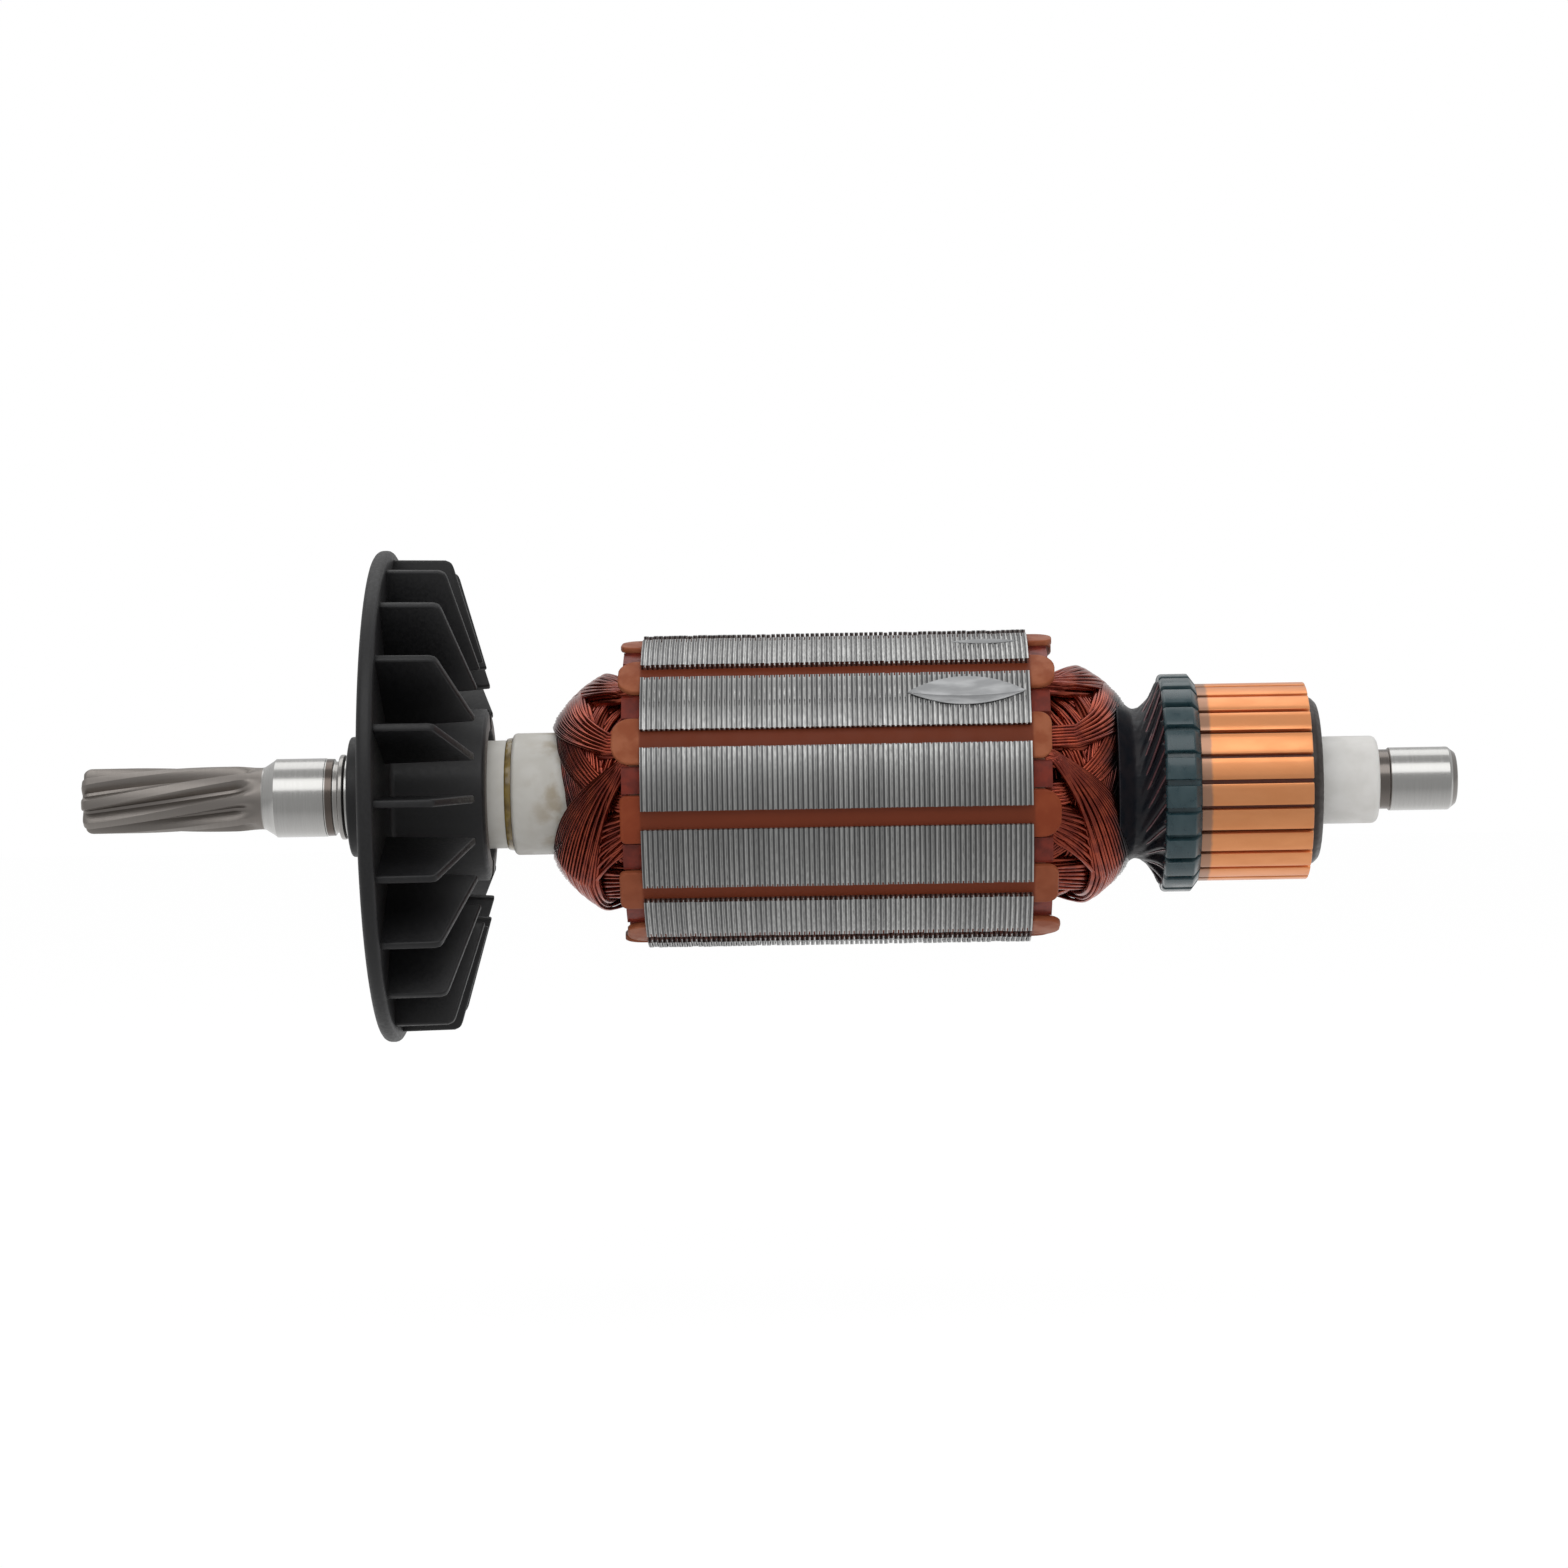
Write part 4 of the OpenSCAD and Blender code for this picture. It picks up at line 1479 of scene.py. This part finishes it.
@dataclass
class Windings:
    """The coils: opposite pairs laid over each other, each spanning five slots."""

    at: Stations
    layers: int = 6
    throw: int = 5
    wire_r: float = 0.225
    lanes: int = 16
    bed_wires: int = 8
    bed_r: float = 0.5
    bed_depth: float = 1.35
    root_r: float = 8.0
    slot_tops: Pair = (14.9, 16.5)
    inner_r: float = 8.4
    high_coil: int = 7
    high_inner_r: float = 11.0
    outer_r: tuple[float, ...] = (14.5, 13.0, 11.6, 12.6, 13.0, 13.1)
    reach: dict = field(default_factory=lambda: {End.DRIVE: 12.6, End.COMMUTATOR: 13.6})
    rim_r: dict = field(default_factory=lambda: {End.DRIVE: 16.15, End.COMMUTATOR: 16.4})
    power: dict = field(default_factory=lambda: {End.DRIVE: 1.7, End.COMMUTATOR: 2.1})
    foot: float = 2.2
    slack: tuple[float, ...] = (0.80, 0.36, 0.45, 0.5, 0.5, 0.5)
    slack_outer: float = 0.5
    ramp: tuple[float, ...] = (6.9, 5.0, 5.5, 6.0, 6.0, 6.0)
    leave_top: Pair = (0.9, 2.5)
    leave_below: Pair = (0.0, 2.9)
    layer_r: float = 0.6
    layer_h: float = 0.3
    lane_mix: Pair = (0.45, 0.55)
    scatter: float = 0.7
    slot_clear: float = 0.2
    bows: Pair = (0.1, 0.9)
    bow_below: float = 0.15
    sunk: Pair = (0.3, 2.5)
    rise: float = 0.6
    crowding: float = 1.35
    easing: float = 1.2
    depth_in: float = 0.5
    depth_down: float = 0.8
    sway: float = 0.08
    sway_waves: float = 2.2
    sway_from: float = 5.0
    sway_rise: float = 0.4
    jitter: float = 0.12
    row_depth: float = 1.8
    steps: int = 17
    rng: random.Random = field(default_factory=lambda: random.Random(3))

    def build(self) -> None:
        """Builds the twelve coils."""
        for number in range(1, SLOTS + 1):
            self.build_coil(number)

    def dome(self, radius: float, end: End) -> float:
        """Height of the windings' outer surface over the core's face at a radius.

        Args:
            radius: distance from the axis.
            end: which end of the core.

        Returns:
            Millimetres, and never less than the foot.
        """
        share = (radius - self.root_r) / (self.rim_r[end] - self.root_r)
        share = max(0.0, min(0.999, share))
        return max(self.foot, self.reach[end] * math.sqrt(1 - share ** self.power[end]))

    def half(self, end: End, number: int, lane: float, depth: float, outer: bool) -> list[Triple]:
        """Half of a wire's way over the core, from its slot to the middle of the head.

        Args:
            end: which end of the core.
            number: the coil's number, from 1.
            lane: place across the bundle, 0 beside the sleeve and 1 beside the core.
            depth: millimetres below the bundle's surface.
            outer: whether the wire leaves the outer half of its slot.

        Returns:
            Points as (radius, angle from the slot towards the head's middle, height).
        """
        rank = (number - 1) % self.layers
        inner_r = self.high_inner_r if number == self.high_coil else self.inner_r
        straight, bent = self.lane_mix
        spread = straight * lane + bent * math.sin(lane * math.pi / 2)
        wrap_r = mix(inner_r, self.outer_r[rank], spread)
        slot_r = self.slot_tops[outer] - depth - self.scatter * (lane * 7 % 1)
        slot_r = max(slot_r, wrap_r + self.slot_clear)
        leave = self.leave_top if rank == 0 else self.leave_below
        start = mix(*leave, lane) / slot_r
        tangent = start + math.acos(wrap_r / slot_r)
        middle = self.throw * SLOT_PITCH / 2
        bow = mix(*self.bows, lane) if outer else self.bow_below
        slack = self.slack_outer if number == self.high_coil else self.slack[rank]
        slack = mix(slack, min(slack, self.slack_outer), lane)
        inwards, down = self.sunk
        points = [(slot_r - inwards, 0.8 * start, -down), (slot_r, start, self.rise)]
        for i in range(self.steps):
            angle = mix(start, middle, (i / (self.steps - 1)) ** self.crowding)
            turn = angle - start
            drawn = wrap_r / math.cos(max(0.0, tangent - angle))
            bowed = mix(wrap_r, slot_r, (1 - turn / (middle - start)) ** self.easing)
            radius = mix(drawn, bowed, bow)
            gone = math.hypot(slot_r - radius * math.cos(turn), radius * math.sin(turn))
            risen = 1 - slack * math.exp(-gone / self.ramp[rank])
            layer = self.dome(radius + self.layer_r * rank, end) - self.layer_h * rank
            height = self.foot + max(0.0, layer - self.foot) * risen
            points.append((
                radius - self.depth_in * depth, angle, height - self.depth_down * depth
            ))
        return points

    def wire(self, number: int, end: End, lane: float, depth: float) -> list[Vector]:
        """One wire of a coil over one end of the core.

        Args:
            number: the coil's number, from 1.
            end: which end of the core.
            lane: place across the bundle, 0 beside the sleeve and 1 beside the core.
            depth: millimetres below the bundle's surface.

        Returns:
            Points in metres, from slot to slot.
        """
        rank = (number - 1) % self.layers
        face = self.at.core_end if end is End.COMMUTATOR else self.at.core_start
        sway, swing = self.rng.uniform(-self.sway, self.sway), self.rng.uniform(0, TURN)
        first = self.half(end, number, lane, depth, rank < self.layers - 1)
        second = self.half(end, number, lane, depth, rank == 0)
        path = []
        for points, slot, way in ((first, number, 1), (second[::-1], number + self.throw, -1)):
            for radius, angle, height in points:
                share = min(1.0, max(0.0, height / self.sway_from))
                off = sway * math.sin(angle * self.sway_waves + swing) * share
                station = face + end.value * (height + self.sway_rise * off)
                path.append(round_axis(station, radius + off, slot_angle(slot) + way * angle))
        return path

    def build_coil(self, number: int) -> None:
        """Builds one coil: two lanes of wires over a fuller bed, at both ends of the core.

        Args:
            number: the coil's number, from 1.
        """
        paths, bed = [], []
        for end in End:
            for row in (0, 1):
                for i in range(self.lanes):
                    place = i + 0.5 * row + 0.25 + self.rng.uniform(-self.jitter, self.jitter)
                    depth = self.wire_r * (1 + self.row_depth * row)
                    paths.append(self.wire(number, end, place / (self.lanes + 0.5), depth))
            for i in range(self.bed_wires):
                bed.append(self.wire(number, end, (i + 0.5) / self.bed_wires, self.bed_depth))
        bm = tubes(paths, self.wire_r, 8)
        join(bm, tubes(bed, self.bed_r))
        publish(bm, f"coil_{number:02d}_wires", ENAMEL, f"coil_{number:02d}", smooth_angle=70)


# ---------------------------------------------------------------- commutator


@dataclass
class Commutator:
    """Copper bars with hooks, the moulding between them, the leads and the resin on them."""

    at: Stations
    bar_gap: float = 0.5
    bar_depth: float = 3.3
    hook_w: float = 1.55
    hook_len: float = 4.2
    hook_slope: float = 0.9
    coat_before: float = 0.3
    coat_w: float = 2.75
    hook_r: float = 13.7
    neck_r: float = 9.75
    neck_start: float = 103.1
    waist: float = 105.6
    bush_r: float = 5.55
    bush_bore_r: float = 4.03
    bore_r: float = 4.72
    cone_r: float = 8.05
    ring_r: float = 10.6
    fin_r: float = 11.8
    phase: float = math.radians(-7.5)
    first_bar: float = math.radians(15)
    lead_r: float = 0.16
    lead_steps: int = 12
    lead_from: float = -0.9
    lead_rise: float = 1.7
    lead_curve: float = 1.15
    lead_lift: float = 0.2
    lead_sides: Pair = (-0.14, 0.16)
    lead_wobble: float = 0.05
    ridge_r: float = 0.6
    ridge_lift: float = -0.3
    neck_flare: float = 2.3
    neck_curve: float = 1.4
    rise_curve: float = 1.9
    voxel: float = 0.22
    lead_turn: float = math.radians(48)
    rng: random.Random = field(default_factory=lambda: random.Random(11))

    def build(self) -> None:
        """Builds every piece of the commutator end."""
        for n in range(1, BARS + 1):
            self.build_bar(n)
        self.build_moulding()
        self.build_resin()
        self.build_leads()
        self.build_bush()

    def build_bush(self) -> None:
        """Builds the white bush between the moulding and the far seat."""
        start, stop = self.at.ring_end - 2.4, self.at.bush_end
        bush = turned([
            (start, self.bush_bore_r, 0), (start, self.bush_r, 0),
            (stop, self.bush_r, 0.8), (stop, self.bush_bore_r, 0.1),
        ])
        publish(bush, "end_bush_turned", BUSH_WHITE, "end_bush")

    def bar_angle(self, number: float) -> float:
        """Angle of the middle of a bar whose node is counted from 1."""
        return self.phase + self.first_bar + TURN * (number - 1) / BARS

    def build_bar(self, number: int) -> None:
        """Builds one bar with its hook strip.

        Args:
            number: the bar's number, from 1.
        """
        at = self.at
        half = TURN / BARS / 2
        outline = []
        for radius, count in ((at.track_r, 5), (at.track_r - self.bar_depth, 2)):
            edge = half - self.bar_gap / 2 / radius
            arc = [(radius, mix(-edge, edge, i / (count - 1))) for i in range(count)]
            outline += arc if count == 5 else arc[::-1]
        face = [round_axis(at.bar_start, r, a) for r, a in outline]
        bm = prism(face, AXIS * (at.bar_end - at.bar_start) * MM)
        soften(bm, 0.12)
        join(bm, self.strip(at.bar_start + 0.05, self.hook_w, self.hook_r, self.hook_len))
        turn_round(bm, self.bar_angle(number))
        publish(bm, f"bar_{number:02d}_copper", COPPER, f"commutator_bar_{number:02d}")

    def build_moulding(self) -> None:
        """Builds the black moulding: a cone behind the bars, fins between them and the end ring."""
        at = self.at
        floor = at.track_r - self.bar_depth - 0.02
        cone_start = at.bar_start - 1.45
        bm = turned([
            (cone_start, self.bore_r, 0), (cone_start, self.cone_r, 0),
            (at.bar_start - 0.5, floor + 0.7, 0),
            (at.bar_start - 0.02, floor + 0.9, 0), (at.bar_start - 0.02, floor, 0),
            (at.bar_end + 0.02, floor, 0), (at.bar_end + 0.02, self.ring_r, 0),
            (at.ring_end - 0.8, self.ring_r, 0.3), (at.ring_end, self.ring_r - 0.8, 0.3),
            (at.ring_end, self.bush_r + 0.03, 0), (at.ring_end - 2.5, self.bush_r + 0.03, 0),
            (at.ring_end - 2.5, self.bore_r, 0),
        ])
        start, stop, root = at.bar_start + 0.6, at.bar_end - 0.03, floor - 0.2
        outline = [(start, root), (stop, root), (stop, self.fin_r), (start, self.fin_r)]
        between = [self.bar_angle(n + 0.5) for n in range(1, BARS + 1)]
        join_round(bm, lambda: slab(outline, 2 * (self.bar_gap / 2 - 0.02)), between)
        publish(bm, "moulding_black", BLACK_MOULDING, "commutator_moulding")

    def strip(self, start: float, width: float, top: float, length: float) -> Mesh:
        """A hook's strip, bent back over the lead, at the front of the commutator.

        Args:
            start: station of the bend.
            width: millimetres from side to side.
            top: radius of its outer face.
            length: millimetres from the bend to the tip.

        Returns:
            A closed mesh.
        """
        foot = self.at.track_r
        bm = slab([
            (start, foot - 0.6), (start, top - 0.25), (start + 0.3, top),
            (start + length - self.hook_slope, top), (start + length, foot + 0.05),
            (start + length, foot - 0.6),
        ], width)
        soften(bm, 0.14)
        return bm

    def lead_path(self, number: float, lift: float, turn: float) -> list[Vector]:
        """The way of a lead from the neck to the foot of its hook.

        Args:
            number: bar number; a fraction lies between two bars.
            lift: millimetres above the resin's surface.
            turn: radians that the lead winds round.

        Returns:
            Points in metres.
        """
        start, stop = self.waist - 0.4, self.at.bar_start - 0.05
        points = []
        for i in range(self.lead_steps + 1):
            f = i / self.lead_steps
            x = mix(start, stop, f)
            risen = mix(self.lead_from, lift, smooth(f * self.lead_rise))
            angle = self.bar_angle(number) + turn * (1 - f) ** self.lead_curve
            points.append(round_axis(x, self.flare(x) + risen, angle))
        return points

    def flare(self, station: float) -> float:
        """Radius of the resin between the coil heads and the hooks.

        Args:
            station: place along the shaft.

        Returns:
            Millimetres from the axis.
        """
        rise, stop = self.waist + 0.9, self.at.bar_start
        if station < self.waist:
            back = (self.waist - station) / (self.waist - self.neck_start)
            return self.neck_r + self.neck_flare * back ** self.neck_curve
        f = max(0.0, (station - rise) / (stop - rise))
        return self.neck_r + (self.hook_r - 0.6 - self.neck_r) * min(1.0, f) ** self.rise_curve

    def build_resin(self) -> None:
        """Pours the neck: a flared body with a ridge over every lead, melted into one skin."""
        start, stop, steps, inner = self.neck_start, self.at.bar_start + 0.6, 14, 7.9
        stations = [mix(start, stop, i / steps) for i in range(steps + 1)]
        profile = [(x, self.flare(x) - 0.35, 0) for x in stations]
        bm = turned([(start, inner, 0), *profile, (stop, inner, 0)], steps=96)
        ridges = [self.lead_path(n, self.ridge_lift, self.lead_turn) for n in range(1, BARS + 1)]
        join(bm, tubes(ridges, self.ridge_r, 8))
        skin = publish(bm, "neck_resin", NECK_RESIN, "lead_resin", smooth_angle=180)
        remesh = skin.modifiers.new("melt", "REMESH")
        remesh.mode = "VOXEL"
        remesh.voxel_size = self.voxel * MM
        remesh.use_smooth_shade = True
        relax = skin.modifiers.new("relax", "SMOOTH")
        relax.factor, relax.iterations = 0.5, 3
        self.build_coats()

    def build_coats(self) -> None:
        """Coats every hook with resin, and fills between them with a band of it."""
        x, r = self.at.bar_start, self.at.track_r
        length = self.hook_len + self.coat_before + 0.1
        start, top = x - self.coat_before, self.hook_r + 0.06
        coats = bmesh.new()
        angles = [self.bar_angle(n) for n in range(1, BARS + 1)]
        join_round(coats, lambda: self.strip(start, self.coat_w, top, length), angles)
        band = turned([
            (x - 0.1, r - 0.5, 0), (x - 0.1, r + 0.4, 0.2), (x + 0.8, r + 0.55, 0.3),
            (x + self.hook_len - 0.8, r + 0.5, 0.4), (x + self.hook_len, r + 0.06, 0.2),
            (x + self.hook_len, r - 0.5, 0),
        ])
        join(coats, band)
        publish(coats, "hook_coats", HOOK_RESIN, "lead_resin")

    def build_leads(self) -> None:
        """Builds the thin enamelled leads that show through the resin."""
        paths = []
        for n in range(1, BARS + 1):
            for side in self.lead_sides:
                wobble = self.rng.uniform(-self.lead_wobble, self.lead_wobble)
                turn = self.lead_turn * self.rng.uniform(0.93, 1.07)
                paths.append(self.lead_path(n + side + wobble, self.lead_lift, turn))
        publish(tubes(paths, self.lead_r), "lead_wires", LEAD_ENAMEL, "coil_leads", smooth_angle=70)


# ---------------------------------------------------------------- sleeve


@dataclass
class Sleeve:
    """The white insulating sleeve and the bead of varnish at its step."""

    at: Stations
    nose_r: float = 6.875
    body_r: float = 7.75
    bore_r: float = 4.72
    step_after_fan: float = 2.5

    def build(self) -> None:
        """Builds the sleeve and the bead."""
        at = self.at
        step = at.fan_end + self.step_after_fan
        sleeve = turned([
            (at.sleeve_start, self.bore_r, 0), (at.sleeve_start, self.nose_r, 0.2),
            (step, self.nose_r, 0.05), (step, self.body_r, 0.55), (at.sleeve_end, self.body_r, 0.1),
            (at.sleeve_end, self.bore_r, 0),
        ], steps=144)
        publish(sleeve, "sleeve_moulding", SLEEVE_WHITE, "drive_sleeve")
        bead = turned([
            (step - 0.9, self.nose_r - 0.05, 0), (step - 0.75, self.nose_r + 0.22, 0.12),
            (step + 0.02, self.nose_r + 0.34, 0.1), (step + 0.02, self.nose_r - 0.05, 0),
        ], steps=144)
        publish(bead, "varnish_bead", VARNISH, "varnish_ring")


# ---------------------------------------------------------------- studio


@dataclass
class Studio:
    """Camera, pale floor, a plain bright room and two soft lamps."""

    eye: Triple = (0.0704, -0.554, 0.0007)
    aim: Triple = (0.0612, 0.0, 0.0007)
    roll: float = math.radians(-1.0)
    lens: float = 100.0
    lit: Triple = (0.06, 0, 0)
    floor_z: float = -0.062
    floor_half: float = 4.0
    room: Pair = (-0.7, 0.8)
    room_light: Pair = (0.42, 0.80)
    room_mirrored: Pair = (0.44, 0.64)

    def build(self) -> None:
        """Builds the whole set."""
        self.build_camera()
        self.build_world()
        self.build_floor()
        self.build_lamps()
        bpy.context.scene.view_settings.view_transform = "Standard"

    def build_camera(self) -> None:
        """Puts the camera level with the shaft, a little rolled."""
        camera = bpy.data.cameras.new("camera")
        camera.lens = self.lens
        camera.sensor_width = 36
        camera.clip_start = 0.01
        holder = placed("camera", camera)
        holder.matrix_world = aimed(self.eye, self.aim) @ Matrix.Rotation(self.roll, 4, "Z")
        bpy.context.scene.camera = holder

    def build_world(self) -> None:
        """White where it is seen; elsewhere the room is dimmer in front and brighter behind."""
        world = bpy.data.worlds.new("studio")
        bpy.context.scene.world = world
        tree = emptied(world)
        towards = tree.nodes.new("ShaderNodeTexCoord").outputs["Generated"]
        split = add_node(tree, "ShaderNodeSeparateXYZ", {0: towards})

        def shade(strength: object) -> Socket:
            """A white background of a strength."""
            sockets = {"Color": (1, 1, 1, 1), "Strength": strength}
            return add_node(tree, "ShaderNodeBackground", sockets).outputs[0]

        light, mirrored = (
            shade(map_range(tree, split.outputs["Y"], *self.room, to=levels))
            for levels in (self.room_light, self.room_mirrored)
        )
        glossy = tree.nodes.new("ShaderNodeLightPath").outputs["Is Glossy Ray"]
        unseen = add_node(tree, "ShaderNodeMixShader", {0: glossy, 1: light, 2: mirrored})
        whole = add_node(tree, "ShaderNodeMixShader", {
            0: seen_rays(tree, "Is Transmission Ray"), 1: unseen.outputs[0], 2: shade(1),
        })
        add_node(tree, "ShaderNodeOutputWorld", {"Surface": whole.outputs[0]})

    def lay_floor(self, material: Material) -> None:
        """Lays the floor's sheet, which isn't part of the object.

        Args:
            material: what it is dressed in.
        """
        bm = bmesh.new()
        place = Matrix.Translation((0, 0, self.floor_z))
        bmesh.ops.create_grid(bm, x_segments=1, y_segments=1, size=self.floor_half, matrix=place)
        mesh = stored(bm, "floor")
        mesh.materials.append(material)
        placed("floor", mesh)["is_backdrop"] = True

    def build_floor(self) -> None:
        """A pale floor that is white where it is seen, but for a trace of the object's shadow."""
        material = bpy.data.materials.new("floor")
        tree = emptied(material)
        place = tree.nodes.new("ShaderNodeTexCoord").outputs["Object"]
        split = add_node(tree, "ShaderNodeSeparateXYZ", {0: place})
        front = map_range(tree, split.outputs["Y"], -0.08, 0.06, (0.40, 0.95), "LINEAR")
        glossy = tree.nodes.new("ShaderNodeLightPath").outputs["Is Glossy Ray"]
        level = add_node(tree, "ShaderNodeMix", {"Factor": glossy, "A": 1.02, "B": front})
        white = add_node(tree, "ShaderNodeEmission", {
            "Color": (1, 1, 1, 1), "Strength": level.outputs[0],
        })
        matt = add_node(tree, "ShaderNodeBsdfDiffuse", {"Color": (0.86, 0.86, 0.86, 1)})
        seen = seen_rays(tree, "Is Glossy Ray", "Is Transmission Ray")
        share = add_node(tree, "ShaderNodeMath", {0: seen, 1: 0.95}, operation="MULTIPLY")
        blend = add_node(tree, "ShaderNodeMixShader", {
            0: share.outputs[0], 1: matt.outputs[0], 2: white.outputs[0],
        })
        add_node(tree, "ShaderNodeOutputMaterial", {"Surface": blend.outputs[0]})
        self.lay_floor(material)

    def build_lamps(self) -> None:
        """One large soft box above the camera and a weaker one from behind and above."""
        self.soft_box("key", (0.06, -0.66, 0.56), (1.3, 0.56), 3.0)
        self.soft_box("top", (0.05, 0.35, 0.85), (1.2, 0.6), 2.0)

    def soft_box(self, name: str, place: Triple, size: Pair, power: float) -> None:
        """Adds an area lamp that faces the object's middle.

        Args:
            name: the lamp's name.
            place: where it stands, in metres.
            size: its width and height in metres.
            power: watts.
        """
        lamp = bpy.data.lights.new(name, "AREA")
        lamp.shape = "RECTANGLE"
        lamp.size, lamp.size_y = size
        lamp.energy = power
        placed(name, lamp).matrix_world = aimed(place, self.lit)


def aimed(place: Sequence[float], target: Sequence[float]) -> Matrix:
    """Where a camera or a lamp stands to look from a place at a target."""
    look = (Vector(target) - Vector(place)).to_track_quat("-Z", "Y").to_matrix().to_4x4()
    return Matrix.Translation(place) @ look


def corners(box: Sequence[Vector]) -> list[list[float]]:
    """A box's two corners as plain lists."""
    return [list(corner) for corner in box]


def main() -> None:
    """Builds the object and its set, and measures the object's size before and after."""
    logging.basicConfig(level=logging.INFO, format="%(message)s")
    packed = corners(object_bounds())
    at = Stations.from_frame()
    parts = (Shaft(at), Fan(at), Sleeve(at), Core(at), Windings(at), Commutator(at), Studio())
    for assembly in parts:
        assembly.build()
        log.info("%s is built", type(assembly).__name__)
    {"frame": packed, "visual": corners(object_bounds())}


if __name__ == "__main__":
    main()
